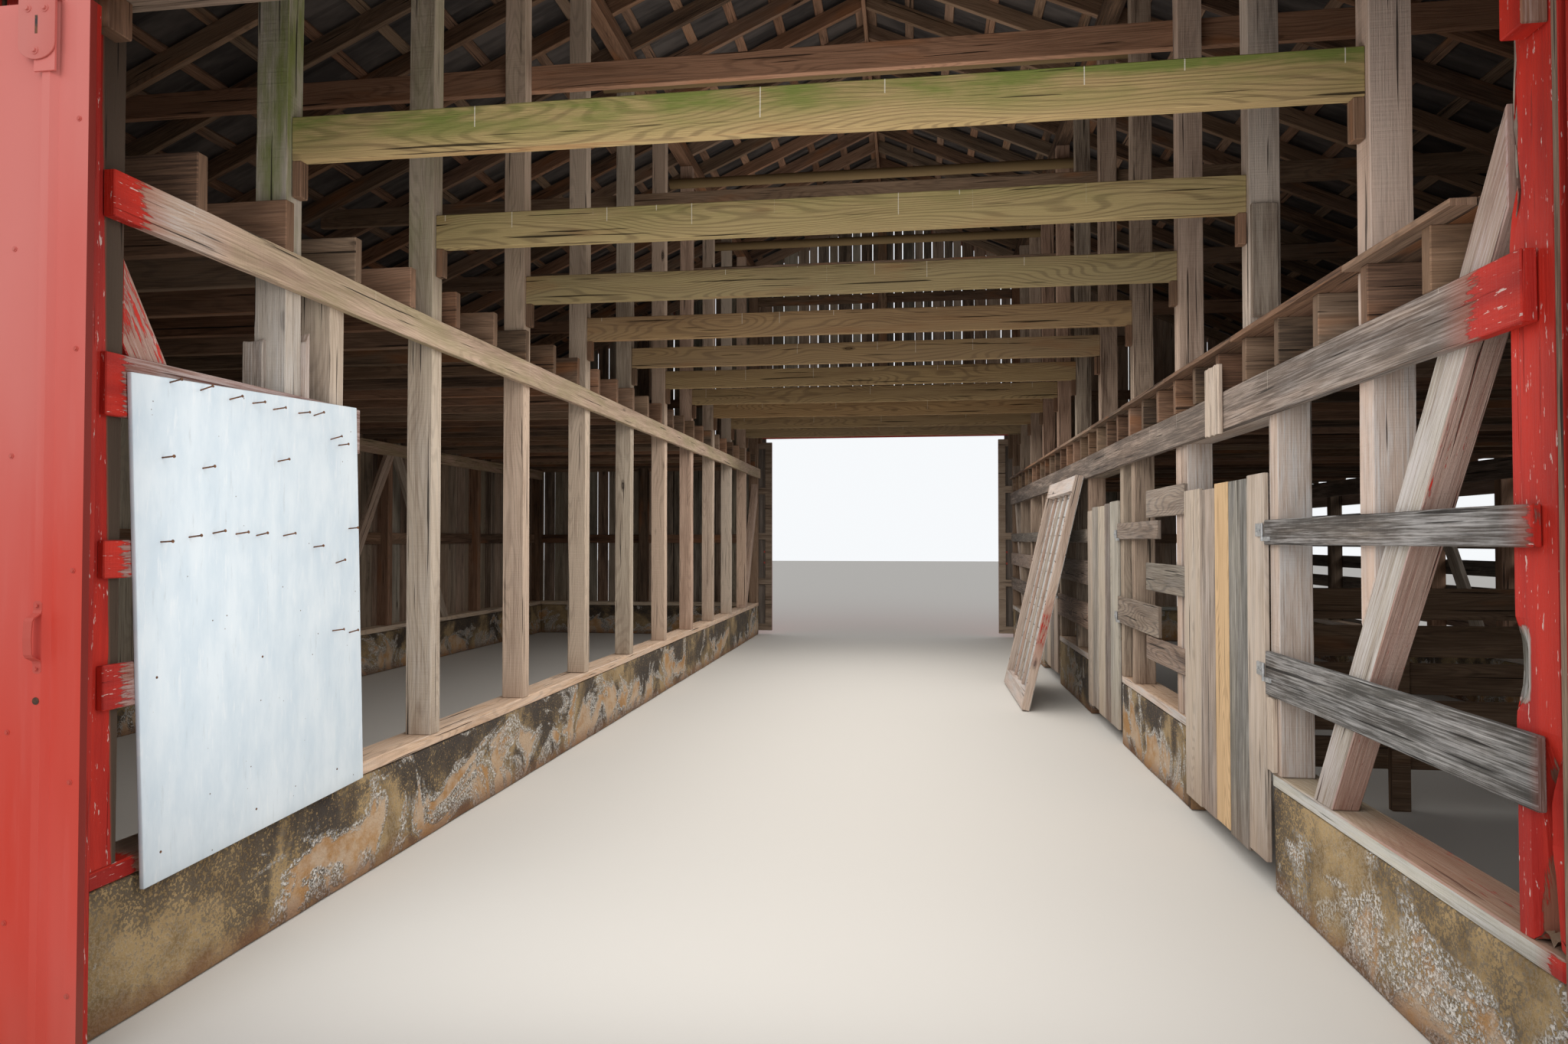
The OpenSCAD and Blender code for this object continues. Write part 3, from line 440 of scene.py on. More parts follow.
GREY = (0.25, 0.225, 0.20)
post_timber = timber_finish(
    "grey_post_timber", (0.58, 0.475, 0.39), (0.385, 0.30, 0.24), (0.115, 0.08, 0.062), (0.36, 0.34, 0.32),
    figured=0.2)
rail_timber = timber_finish(
    "grey_rail_timber", (0.40, 0.32, 0.25), (0.23, 0.17, 0.13), (0.065, 0.046, 0.038), (0.185, 0.17, 0.16),
    drips=0.0, figured=0.6)
brown_timber = timber_finish(
    "brown_loft_timber", (0.33, 0.21, 0.14), (0.19, 0.115, 0.072), (0.06, 0.036, 0.025), (0.21, 0.175, 0.15),
    drips=0.0, saw=0.0, stain=0.5)
beam_timber = timber_finish(
    "yellow_beam_timber", (0.50, 0.37, 0.18), (0.33, 0.225, 0.11), (0.11, 0.068, 0.035), (0.22, 0.18, 0.14),
    drips=0.9, saw=0.0, stain=0.35, figured=0.45)
sill_timber = timber_finish(
    "dusty_sill_timber", (0.66, 0.55, 0.42), (0.48, 0.35, 0.23), (0.19, 0.11, 0.065), (0.50, 0.46, 0.42),
    drips=0.0)
red_timber = timber_finish(
    "red_painted_boards", (0.42, 0.36, 0.28), (0.26, 0.20, 0.15), (0.075, 0.055, 0.042), (0.42, 0.39, 0.35),
    drips=0.0, wear=0.42, saw=0.0)
door_boards = timber_finish(
    "stall_door_boards", (0.55, 0.49, 0.41), (0.385, 0.34, 0.28), (0.12, 0.10, 0.08), (0.40, 0.37, 0.34),
    drips=0.0, saw=0.0)
pole_timber = timber_finish(
    "round_pole_timber", (0.36, 0.28, 0.20), (0.24, 0.17, 0.115), (0.08, 0.055, 0.04), GREY)
yellow_board_timber = timber_finish(
    "yellow_door_board", (0.60, 0.49, 0.31), (0.48, 0.37, 0.215), (0.20, 0.14, 0.08), GREY,
    drips=0.0, saw=0.0)
batten_timber = timber_finish(
    "pink_batten_timber", (0.58, 0.46, 0.38), (0.42, 0.30, 0.235), (0.16, 0.105, 0.08), (0.52, 0.50, 0.49),
    drips=0.0, saw=0.0)
concrete = concrete_finish()
red_steel = steel_finish(
    "faded_red_steel", (0.74, 0.060, 0.034), (0.80, 0.24, 0.21), (0.20, 0.06, 0.03), 0.42,
    rust_at=0.70, fade=0.55, soil=0.12, backing=(0.20, 0.165, 0.14))
fitting_steel = steel_finish(
    "pale_red_fittings", (0.62, 0.085, 0.06), (0.72, 0.24, 0.21), (0.22, 0.07, 0.03), 0.5, rust_at=0.7)
# a darker copy of the faded red, for the trim's return towards the aisle: painted shade
shaded_trim = steel_finish(
    "dark_red_trim", (0.26, 0.022, 0.016), (0.34, 0.05, 0.04), (0.12, 0.04, 0.02), 0.6, rust_at=0.68)
track_steel = steel_finish(
    "red_track_steel", (0.46, 0.03, 0.022), (0.52, 0.07, 0.055), (0.18, 0.06, 0.03), 0.5)
panel_steel = steel_finish(
    "pale_panel_steel", (0.55, 0.56, 0.56), (0.70, 0.71, 0.72), (0.26, 0.14, 0.08), 0.5, 0.2, 0.58)
roof_steel = roof_finish()
underside = underside_finish()
white_paint = white_board_finish()
iron = iron_finish("dark_weathered_iron", (0.055, 0.05, 0.048), (0.21, 0.10, 0.055))
zinc = iron_finish("zinc_fittings", (0.34, 0.35, 0.36), (0.50, 0.51, 0.52), 0.7)
rusty_nail = iron_finish("rusty_nail_iron", (0.10, 0.05, 0.03), (0.22, 0.10, 0.05), 0.4, 120.0)


# Timber work

def bevel(bm, edges, offset, segments=1):
    bmesh.ops.bevel(bm, geom=edges, offset=offset, offset_type="OFFSET", segments=segments, profile=0.5,
                    affect="EDGES", clamp_overlap=True, material=-1)


def sharp(edges, angle):
    """Those of the edges where the surface turns by more than the angle."""
    return [e for e in edges if len(e.link_faces) == 2 and e.calc_face_angle(0) > angle]


def soften(bm, offset, segments=1):
    """Rounds every sharp edge."""
    bevel(bm, sharp(bm.edges, math.radians(30)), offset, segments)


def once(things):
    """Each of the things once, in their order, so that every run gives the same mesh."""
    return list(dict.fromkeys(things))


def held_in(place, box):
    """The place, brought back into the box where it is past it."""
    return [min(max(place[i], box[0][i]), box[1][i]) for i in range(3)]


def clean_copy(node):
    """A bmesh of a CAD node with its corners joined and its flat faces whole."""
    bm = bmesh.new()
    bm.from_mesh(frame["nodes"][node].data)
    for layer in list(bm.loops.layers.uv):
        bm.loops.layers.uv.remove(layer)
    bmesh.ops.remove_doubles(bm, verts=bm.verts, dist=2e-5)
    bmesh.ops.dissolve_limit(bm, angle_limit=math.radians(1), verts=bm.verts, edges=bm.edges)
    bmesh.ops.recalc_face_normals(bm, faces=bm.faces)
    return bm


def pieces_in(bm):
    """The separate timbers in a bmesh, as lists of faces."""
    left = set(bm.faces)
    for first in list(bm.faces):
        if first not in left:
            continue
        left.discard(first)
        group = [first]
        for face in group:
            for edge in face.edges:
                for other in edge.link_faces:
                    if other in left:
                        left.discard(other)
                        group.append(other)
        yield group


def corners(group):
    """The vertices of a group of faces, and the two corners of the box round them."""
    verts = once(v for f in group for v in f.verts)
    low = Vector([min(v.co[i] for v in verts) for i in range(3)])
    high = Vector([max(v.co[i] for v in verts) for i in range(3)])
    return verts, low, high


def way_of(group):
    """The direction along the grain: that of the longest edges, added up so that short cuts don't count."""
    totals = {}
    for edge in once(e for f in group for e in f.edges):
        d = edge.verts[1].co - edge.verts[0].co
        if d.length < 1e-6:
            continue
        d = d.normalized()
        if max(d, key=abs) < 0:
            d = -d
        key = tuple(round(c, 1) for c in d)
        totals.setdefault(key, [0.0, Vector()])
        totals[key][0] += edge.calc_length()
        totals[key][1] += d * edge.calc_length()
    return max(totals.values(), key=lambda t: t[0])[1].normalized()


def place_in_row(group):
    """What the timbers are sorted by: the corners of the box round each, and its direction. The steps of
    1 mm begin beside the half millimetres, where many corners are, so that every run sorts them alike."""
    off_corners = 0.13
    _, low, high = corners(group)
    return [math.floor(c * 1000 + off_corners) for c in (*low, *high, *way_of(group))]


def cut_up(bm, axis, step, faces=None, low=None, high=None):
    """Cuts the timbers across, so that they can bend and their paint can change along them."""
    off_corners = 0.0013
    chosen = list(faces or bm.faces)
    low = min(v.co[axis] for f in chosen for v in f.verts) if low is None else low
    high = max(v.co[axis] for f in chosen for v in f.verts) if high is None else high
    way = Vector([float(i == axis) for i in range(3)])
    at = low + step * 0.5
    while at < high:
        edges = once(e for f in chosen for e in f.edges)
        verts = once(v for f in chosen for v in f.verts)
        made = bmesh.ops.bisect_plane(bm, geom=chosen + edges + verts, dist=1e-5,
                                      plane_co=way * (at + off_corners), plane_no=way)
        chosen = [g for g in made["geom"] if isinstance(g, bmesh.types.BMFace)]
        at += step
    return chosen


def said_at(value, p, n):
    return value(p, n) if callable(value) else value


def marks(bm, seed, tell, box, bend=0.003):
    """Bends each timber a little, inside the box of its node, and writes its grain map and its marks.
    tell(middle, low, high, rng) gives tone, grey, paint, growth and dirt (earth colour for dirt, and for
    painted shade), each a number or a function of a place and the way that the surface faces there. It may
    also give bend, and torn, a move of a place."""
    grain = bm.loops.layers.uv.new("grain")
    board = bm.loops.layers.float_color.new("board")
    place = bm.loops.layers.float_color.new("place")
    rng = random.Random(seed)
    for group in sorted(pieces_in(bm), key=place_in_row):
        verts, low, high = corners(group)
        way = way_of(group)
        side = way.cross(Vector((0, 0, 1)) if abs(way.z) < 0.8 else Vector((0, 1, 0))).normalized()
        flat = side.cross(way).normalized()
        said = tell((low + high) / 2, low, high, rng)
        own = rng.random()
        shift = (rng.uniform(0, 40), rng.uniform(0, 40))
        start = rng.uniform(0, 90)
        for face in group:
            n = face.normal
            is_end = abs(n.dot(way)) > 0.75
            across = side if is_end else n.cross(way).normalized()
            other = flat if is_end else way
            for loop in face.loops:
                p = loop.vert.co
                loop[grain].uv = (p.dot(other) + shift[0], p.dot(across) + shift[1])
                tone, grey, paint, growth, dirt = (
                    said_at(said.get(key, 0.0), p, n) for key in ("tone", "grey", "paint", "growth", "dirt"))
                loop[board] = (tone, grey, paint, growth)
                loop[place] = (min(1.0, high.z - p.z), float(is_end), own, dirt)
        size = said.get("bend", bend)
        torn = said.get("torn")
        for v in verts:
            s = v.co.dot(way)
            if torn:
                v.co += torn(v.co, v.normal)
            swing = side * noise.noise(Vector((s * 0.55 + start, 0.3, own * 9)))
            swing += flat * noise.noise(Vector((s * 0.55 + start, 5.3, own * 9)))
            rough = noise.noise_vector(v.co * 5.1 + Vector((start, 0, 0))) * 0.35
            v.co = held_in(v.co + (swing + rough) * size, box)


def put_in_scene(name, data):
    thing = bpy.data.objects.new(name, data)
    bpy.context.scene.collection.objects.link(thing)
    return thing


def as_piece(bm, name, body, finishes, slot, stands_for=None):
    mesh = bpy.data.meshes.new(name)
    bm.to_mesh(mesh)
    bm.free()
    for finish in finishes:
        mesh.materials.append(finish)
    piece = put_in_scene(name, mesh)
    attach(piece, body)
    if stands_for:
        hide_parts(stands_for)


BODIES = frame["record"]["behaviour"]["bodies"]
BODY_OF = {node: body for body, nodes in BODIES.items() for node in nodes}


def weathered(node, finish, slot, axis, step, tell, seed, edge=0.0035, extra=None):
    """The node's timbers with worn edges, a slight bend, their grain and their marks."""
    bm = clean_copy(node)
    soften(bm, edge)
    cut_up(bm, axis, step)
    if extra:
        extra(bm)
    bm.normal_update()
    marks(bm, seed, tell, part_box(node))
    as_piece(bm, node + "_timber", BODY_OF[node], [finish], slot, node)


# How the weather and the paint change over the timbers

def ramp(value, low, high):
    """0 at low, 1 at high, straight between."""
    return max(0.0, min(1.0, (value - low) / (high - low)))


def hill(value, low, high, soft):
    """1 between low and high, with soft edges."""
    return ramp(value, low - soft, low) * ramp(-value, -high - soft, -high)


def above(p, start, full):
    """0 up to the height start, 1 from the height full."""
    return ramp(p.z, start, full)


def below(p, start, full):
    """0 down to the height start, 1 from the height full down."""
    return ramp(-p.z, -start, -full)


def doorward(p, start, full):
    """0 up to start from the barn's middle towards the near doorway, 1 from full."""
    return ramp(-p.y, start, full)


def faces_out(p, n, axis=ALONG):
    """Whether a surface far from the barn's middle also faces away from it."""
    return n[axis] * p[axis] > 3


def splashed(p, n):
    """Earth on the lowest part of a post or a brace."""
    return 0.5 * below(p, 0.75, 0.5)


def aisle_tell(middle, low, high, rng):
    """Posts and studs beside the aisle: pinkish tan on the left, brown with grey fronts on the right."""
    left = middle.x < 0
    first = left and middle.y < -5.2

    def growth(p, n):
        if first:
            return -0.85 * below(p, 2.6, 2.3) + 0.95 * above(p, 2.55, 2.9)
        if left:
            return (0.5 * above(p, 2.3, 3.1) - 0.45 * below(p, 2.3, 2.0)) * doorward(p, 2.5, 5.0)
        return (-1.0 if n.y < -0.5 else -0.6) * doorward(p, 2.0, 3.5) * below(p, 2.6, 2.1)

    def grey_front(p, n):
        return (0.9 if n.y < -0.5 else 0.6) * doorward(p, 2.0, 4.0)
    if left:
        tone = rng.uniform(0.75, 1.1)
        grey = 0.75 if first else rng.uniform(0.0, 0.3)
    else:
        tone = rng.uniform(0.3, 0.6) + 0.5 * doorward(middle, 2.0, 3.5)
        grey = grey_front
    return dict(tone=tone, grey=grey, growth=growth, dirt=splashed, bend=0.006)


def ledger_tell(middle, low, high, rng):
    """The ledgers are red at the near end. The left one is tan, the right one grey."""
    left = middle.x < 0
    bare_to, red_from = (5.95, 6.26) if left else (5.8, 6.2)

    def paint(p, n):
        return 0.0 if abs(p.x) > 2.1 else doorward(p, bare_to, red_from)

    def growth(p, n):
        if left:
            return -0.9 * hill(p.y, -6.15, -5.95, 0.15) + 0.35 * ramp(p.y, -5.9, -5.6)
        return -0.35 * doorward(p, 3.5, 5.0)
    tone, grey = (0.75, 0.1) if left else (0.15, 0.75)
    return dict(tone=tone, grey=grey, paint=paint, growth=growth, bend=0.006)


def rail_tell(middle, low, high, rng):
    """Rails by the near doorway: red at their ends, the right ones dark grey."""
    left = middle.x < 0
    near = low.y < -6.0
    dark = near and not left

    def paint(p, n):
        if left:
            return 0.40 + 0.55 * doorward(p, 6.17, 6.24)
        return 0.85 * doorward(p, 6.12, 6.3) if middle.z > 1.3 else 0.7 * doorward(p, 6.22, 6.3)
    tone = 0.12 if dark else rng.uniform(0.35, 0.9)
    grey = 0.9 if near else rng.uniform(0.15, 0.6)
    growth = -0.65 if dark else -0.9 if near else -0.15
    return dict(tone=tone, grey=grey, paint=paint if near else 0.0, growth=growth, bend=0.005)


def brace_tell(middle, low, high, rng):
    """The two braces by the near doorway keep some paint, the left one more."""
    left = middle.x < 0
    near = middle.y < 0 and abs(middle.x) < 4

    def paint(p, n):
        if left:
            return 0.75 if n.y < -0.2 else 0.60 + 0.15 * above(p, 2.3, 2.9)
        return 0.50 if n.y < -0.2 else 0.25 + 0.25 * above(p, 2.0, 2.6)

    def growth(p, n):
        return -1.0 if near and (n.x < -0.5 or left) else -0.2
    return dict(tone=0.7, grey=0.5 if near else rng.uniform(0, 0.4), paint=paint if near else 0.0,
                growth=growth, dirt=splashed, bend=0.004)


def beam_tell(middle, low, high, rng):
    """The beams are yellow, and the ones by the near doorway are green along the top. Each is paler along its
    lower edge, a painted highlight, and each beam further from the near doorway is darker, painted shade.
    """
    number = round((middle.y - FIRST_POST) / POST_PITCH)
    near = 0 <= number < 3
    green = (1.5, 0.4, 0.15)[number] if near else 0.0
    grey = (0.1, 0.1, 0.25)[number] if near else rng.uniform(0.2, 0.6)
    tone = rng.uniform(0.7, 1.0)
    # the paler lowest 5 cm is a painted highlight; more earth colour on each beam further in is painted shade
    return dict(tone=lambda p, n: tone + 0.4 * below(p, low.z + 0.05, low.z), grey=grey,
                growth=lambda p, n: green * above(p, low.z + 0.01, low.z + 0.06),
                dirt=0.25 * min(1.0, max(0, number) / 5), bend=0.008)


def corner_block_tell(middle, low, high, rng):
    """Blocks under the beams. The one at the near right has been painted."""
    if middle.x > 0 and middle.y < -6.1:
        return dict(tone=0.5, grey=0.3, paint=lambda p, n: 0.35 if n.y < -0.5 else 1.0, growth=-0.4,
                    dirt=0.3, bend=0.002)
    return dict(tone=0.5, grey=0.3, dirt=0.3, bend=0.002)


def sill_tell(middle, low, high, rng):
    """Sills with red near ends. The right one is bleached on its face and reddish and dirty on top."""
    if middle.x < 0:
        return dict(tone=0.95, grey=0.15, bend=0.005,
                    paint=lambda p, n: 0.0 if abs(p.x) > 2.3 else doorward(p, 6.04, 6.16),
                    growth=lambda p, n: -0.45 if abs(n.x) > 0.5 else -0.3)

    def paint(p, n):
        if abs(p.x) > 2.3:
            return 0.0
        return 0.52 * doorward(p, 4.6, 5.4) if n.z > 0.5 else 0.15 + 0.8 * doorward(p, 6.2, 6.3)
    return dict(tone=0.75, grey=lambda p, n: 0.2 if n.z > 0.5 else 1.0, paint=paint, bend=0.005,
                growth=lambda p, n: -1.0 if n.x < -0.5 else -0.15,
                dirt=lambda p, n: 0.5 if n.z > 0.5 else 0.0)


def loft_tell(middle, low, high, rng):
    return dict(tone=rng.uniform(0.2, 1.0), grey=rng.uniform(0.0, 0.4), bend=0.004)


def lath_tell(middle, low, high, rng):
    return dict(loft_tell(middle, low, high, rng), bend=0.0)


def seat_laths(bm):
    """Keeps the laths just clear of the sheets above them."""
    bmesh.ops.translate(bm, vec=(0, 0, -0.0015), verts=bm.verts)


def slat_tell(middle, low, high, rng):
    return dict(tone=rng.uniform(0.3, 0.9), grey=rng.uniform(0.4, 0.9), bend=0.004)


def rot(p):
    """Depth of the rot at a place on the near right doorway post."""
    foot = hill(p.z, 0.5, 0.9, 0.16) * doorward(p, 6.2, 6.25)
    bare = hill(p.z, 1.16, 1.29, 0.06) * ramp(p.y, -6.205, -6.18)
    torn_edge = hill(p.z, 2.45, 2.9, 0.1) * ramp(p.y, -6.2, -6.16)
    strips = noise.noise(Vector((p.x * 46, p.y * 46, p.z * 2.6))) * 0.5 + 0.5
    chips = noise.noise(Vector((p.x * 90, p.y * 90, p.z * 9 + 4))) * 0.5 + 0.5
    depth = 0.055 * foot + 0.03 * bare + 0.035 * torn_edge
    return depth * ramp(0.7 * strips + 0.3 * chips, 0.25, 0.65)


def rotten_post():
    """The near right doorway post: red, but bare halfway up and dark with rot at its foot."""
    def low_rot(p):
        return ramp(rot(p), 0.008, 0.02) * below(p, 1.05, 1.0)

    def paint(p, n):
        if faces_out(p, n):
            return 0.9
        bare = hill(p.z, 1.16, 1.29, 0.05) * ramp(p.y, -6.22, -6.2)
        to_aisle = n.x * p.x < -1
        return (0.93 if to_aisle else 0.3) * (1 - bare) * (1 - 0.42 * ramp(rot(p), 0.010, 0.022))
    return dict(tone=lambda p, n: 0.5 - 0.9 * low_rot(p), grey=lambda p, n: 0.75 * (1 - low_rot(p)),
                paint=paint, growth=lambda p, n: -1.0 * hill(p.z, 1.05, 1.35, 0.1),
                dirt=lambda p, n: max(0.5 * below(p, 0.9, 0.5), 0.8 * low_rot(p)),
                torn=lambda p, n: n * -rot(p), bend=0.002)


def near_left_post():
    """The near left doorway post: red outside, and towards the aisle up to a line that slants. Past that line
    its bare wood is near black, painted shade of the dark inside beyond the post.
    """
    def paint(p, n):
        if faces_out(p, n):
            return 0.95
        line = -6.275 + 0.07 * below(p, 3.0, 0.5)
        to_aisle = n.x * p.x < -1
        return 0.9 * ramp(line - p.y, -0.012, 0.006) if to_aisle else 0.1
    # tone -0.8 makes the bare wood near black: painted shade
    return dict(tone=-0.8, paint=paint, bend=0.002)


def jamb_tell(middle, low, high, rng):
    """The doorways' posts. Those at the far end are painted outside only."""
    if middle.y < 0:
        return rotten_post() if middle.x > 0 else near_left_post()
    return dict(tone=0.5, grey=0.2, paint=lambda p, n: 0.95 if faces_out(p, n) else 0.0, dirt=0.6, bend=0.002)


def rotten_cuts(bm):
    """Fine cuts in the near doorway posts, where one has rotted and where the other's paint ends."""
    for group in list(pieces_in(bm)):
        _, low, _ = corners(group)
        if low.y < -6.2 and low.x > 1.5:
            faces = cut_up(bm, UP, 0.035, group, 0.35, 1.45)
            faces = cut_up(bm, UP, 0.045, faces, 2.3, 3.0)
            faces = cut_up(bm, ALONG, 0.016, faces)
            cut_up(bm, ACROSS, 0.016, faces)
        elif low.y < -6.2:
            cut_up(bm, ALONG, 0.012, group)


def outside_tell(middle, low, high, rng):
    worn = rng.uniform(0.74, 1.0)
    return dict(tone=rng.uniform(0.3, 0.9), grey=0.5, dirt=0.3, bend=0.002,
                paint=lambda p, n: worn if faces_out(p, n) else 0.0)


def leaf_frame_tell(middle, low, high, rng):
    worn = rng.uniform(0.8, 0.95)
    return dict(tone=rng.uniform(0.3, 0.9), grey=0.4, bend=0.001, dirt=0.4,
                paint=lambda p, n: worn if faces_out(p, n) or (p.y < 0 and abs(n.x) > 0.5) else 0.0)


# Each row: node, finish, slot, the axis to cut along, distance between cuts, what it is told, what else.
WEATHERED = (
    ("sills", sill_timber, "sill_timber", ALONG, 0.25, sill_tell, dict(edge=0.006)),
    ("aisle_posts", post_timber, "grey_timber", UP, 0.35, aisle_tell, {}),
    ("ledger_studs", post_timber, "grey_timber", UP, 0.35, aisle_tell, {}),
    ("ledgers", post_timber, "grey_timber", ALONG, 0.15, ledger_tell, {}),
    ("braces", post_timber, "grey_timber", UP, 0.25, brace_tell, {}),
    ("aisle_rails", rail_timber, "grey_timber", ALONG, 0.15, rail_tell, {}),
    ("wall_slats", rail_timber, "grey_timber", ALONG, 0.6, slat_tell, {}),
    ("loft_joists", brown_timber, "brown_timber", ACROSS, 0.5, loft_tell, {}),
    ("loft_planks", brown_timber, "brown_timber", ALONG, 0.6, loft_tell, dict(edge=0.002)),
    ("cross_beams", beam_timber, "beam_timber", ACROSS, 0.3, beam_tell, {}),
    ("beam_cleats", brown_timber, "beam_timber", UP, 0.1, corner_block_tell, {}),
    ("tie_beams", brown_timber, "brown_timber", ACROSS, 0.6, loft_tell, {}),
    ("roof_plates", brown_timber, "brown_timber", ALONG, 0.8, loft_tell, {}),
    ("outer_posts", brown_timber, "brown_timber", UP, 0.8, loft_tell, {}),
    ("girts", brown_timber, "brown_timber", ALONG, 0.6, loft_tell, {}),
    ("ridge_board", brown_timber, "brown_timber", ALONG, 0.8, loft_tell, {}),
    ("rafters", brown_timber, "brown_timber", ACROSS, 0.9, loft_tell, {}),
    ("roof_laths", brown_timber, "brown_timber", ALONG, 0.9, lath_tell, dict(edge=0.002, extra=seat_laths)),
    ("stall_partition", brown_timber, "brown_timber", ACROSS, 0.5, loft_tell, {}),
    ("doorway_posts", red_timber, "red_timber", UP, 0.1, jamb_tell, dict(extra=rotten_cuts)),
    ("doorway_headers", red_timber, "red_timber", ACROSS, 0.3, outside_tell, {}),
)
for seed, (node, finish, slot, axis, step, tell, more) in enumerate(WEATHERED, 11):
    weathered(node, finish, slot, axis, step, tell, seed, **more)
for seed, leaf in enumerate(LEAVES, 50):
    weathered(leaf + "_door_frame", red_timber, "door_timber", UP, 0.6, leaf_frame_tell, seed)


# Siding

def upright_boards(bm, axis, start, end, face, low, top, rng, gap):
    """Boards side by side from start to end, along x at y = face, or along y at x = face."""
    narrowest = 0.08
    at = start
    while at < end - narrowest / 2:
        width = min(rng.choice((0.14, 0.19, 0.19, 0.235)), end - at)
        if end - at - width < narrowest:
            width = end - at
        right = at + width - rng.uniform(*gap)
        foot = low + rng.uniform(0.0, 0.02)
        for v in bmesh.ops.create_cube(bm, size=1.0)["verts"]:
            s = at if v.co.x < 0 else right
            t = face + (v.co.y + 0.5) * SIDING_THICK
            z = foot if v.co.z < 0 else top(s) - 0.001
            v.co = (s, t, z) if axis == ACROSS else (t, s, z)
        at += width


def siding(node, axis, runs, seed, gap):
    """The boards that stand for a node, painted on their outer sides."""
    rng = random.Random(seed)
    bm = bmesh.new()
    for start, end, face, low, top in runs:
        upright_boards(bm, axis, start, end, face, low, top, rng, gap)
    bmesh.ops.recalc_face_normals(bm, faces=bm.faces)
    soften(bm, 0.002)
    cut_up(bm, UP, 0.8)
    bm.normal_update()

    def tell(middle, low, high, rng):
        worn = rng.uniform(0.72, 1.0)
        return dict(tone=rng.uniform(0.1, 1.0), grey=rng.uniform(0.1, 0.7), bend=0.0015,
                    paint=lambda p, n: worn if faces_out(p, n, 1 - axis) else 0.0,
                    dirt=lambda p, n: 0.35 * below(p, 1.0, 0.5))
    marks(bm, seed, tell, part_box(node))
    as_piece(bm, node + "_boards", "barn", [red_timber], "red_timber", node)


def roof_top_at(s):
    """Height of the upper side of the rafters over a distance s from the middle."""
    return PLATE_TOP + (PLATE_EDGE - abs(s)) * math.tan(ROOF_SLOPE) + RAFTER_DEPTH / math.cos(ROOF_SLOPE)


def wall_top_at(s):
    """Height of the side walls, under the rafters."""
    return PLATE_TOP + (PLATE_EDGE - OUTER_FACE) * math.tan(ROOF_SLOPE)


END_FACES = (-HALF_LENGTH - SIDING_THICK, HALF_LENGTH)
siding("gable_sides", ACROSS, [
    (start, end, face, SIDING_FOOT, roof_top_at)
    for face in END_FACES for start, end in ((-OUTER_FACE, -AISLE_FACE), (AISLE_FACE, OUTER_FACE))],
    41, (0.002, 0.020))
siding("gable_tops", ACROSS, [
    (start, end, face, DOORWAY_TOP, roof_top_at)
    for face in END_FACES for start, end in ((-AISLE_FACE, 0.0), (0.0, AISLE_FACE))],
    42, (0.004, 0.016))
siding("side_siding", ALONG, [
    (-HALF_LENGTH, HALF_LENGTH, -OUTER_FACE, SIDING_FOOT, wall_top_at),
    (-HALF_LENGTH, HALF_LENGTH, OUTER_FACE - SIDING_THICK, SLATS_TOP, wall_top_at)],
    43, (0.004, 0.018))


# Boards nailed on here and there

def box_in(bm, low, high):
    """A box between two corners. Returns its corners' vertices."""
    low, high = Vector(low), Vector(high)
    made = bmesh.ops.create_cube(bm, size=1.0)["verts"]
    for v in made:
        v.co = [low[i] + (v.co[i] + 0.5) * (high[i] - low[i]) for i in range(3)]
    return made


def splinter(bm, axis, reach):
    """Draws the ends of each board in by up to reach, in splinters."""
    for group in list(pieces_in(bm)):
        verts, low, high = corners(group)
        middle = (low[axis] + high[axis]) / 2
        half = (high[axis] - low[axis]) / 2
        for v in verts:
            inward = 1 if v.co[axis] < middle else -1
            share = ramp(abs(v.co[axis] - middle), 0.0, half)
            splinters = noise.noise(Vector((v.co.x * 9, v.co.y * 55, v.co.z * 55))) * 0.5 + 0.5
            v.co[axis] += inward * reach * share * splinters


def nailed_boards(name, boxes, tell, seed, ragged):
    """Short upright boards, each with its own place; ragged is how far their ends are splintered."""
    bm = bmesh.new()
    for low, high in boxes:
        box_in(bm, low, high)
    soften(bm, 0.003)
    cut_up(bm, UP, 0.06)
    for across in (ACROSS, ALONG):
        cut_up(bm, across, 0.018)
    bm.normal_update()
    splinter(bm, UP, ragged)
    low = Vector([min(b[0][i] for b in boxes) for i in range(3)])
    high = Vector([max(b[1][i] for b in boxes) for i in range(3)])
    marks(bm, seed, tell, (low, high), 0.001)
    as_piece(bm, name, "barn", [post_timber], "grey_timber")


def pale_tell(middle, low, high, rng):
    return dict(tone=0.95, grey=rng.uniform(0.1, 0.4), growth=-0.2)


def grey_tell(middle, low, high, rng):
    return dict(tone=0.6, grey=0.8, growth=-0.5)


def dull_tell(middle, low, high, rng):
    return dict(tone=0.35, grey=0.5, growth=-0.1, dirt=0.4)


HALF_POST = 0.0505
SECOND_POST = FIRST_POST + POST_PITCH
nailed_boards("short_ledger_board", [((1.978, -3.97, 2.07), (1.9995, -3.75, 2.44))], pale_tell, 61, 0.02)
nailed_boards("post_scab_boards", [
    ((2.045, SECOND_POST - 0.076, 2.58), (2.16, SECOND_POST - HALF_POST, 3.14)),
    ((2.05, SECOND_POST + HALF_POST, 2.66), (2.15, SECOND_POST + 0.074, 3.10))], dull_tell, 62, 0.03)
nailed_boards("splintered_boards", [
    ((-2.215, FIRST_POST - 0.075, 1.55), (-2.125, FIRST_POST - HALF_POST, 2.40)),
    ((-2.12, FIRST_POST + HALF_POST, 1.62), (-2.02, FIRST_POST + 0.074, 2.44))], grey_tell, 63, 0.09)
nailed_boards("lower_jamb_board", [((2.016, -4.53, 0.53), (2.0395, -4.463, 0.866))], pale_tell, 64, 0.015)


# Concrete, steel and the rest of the CAD nodes

def dress(node, finish):
    """The CAD node's own mesh with a finish."""
    piece = frame["nodes"][node]
    piece.data.materials.clear()
    piece.data.materials.append(finish)


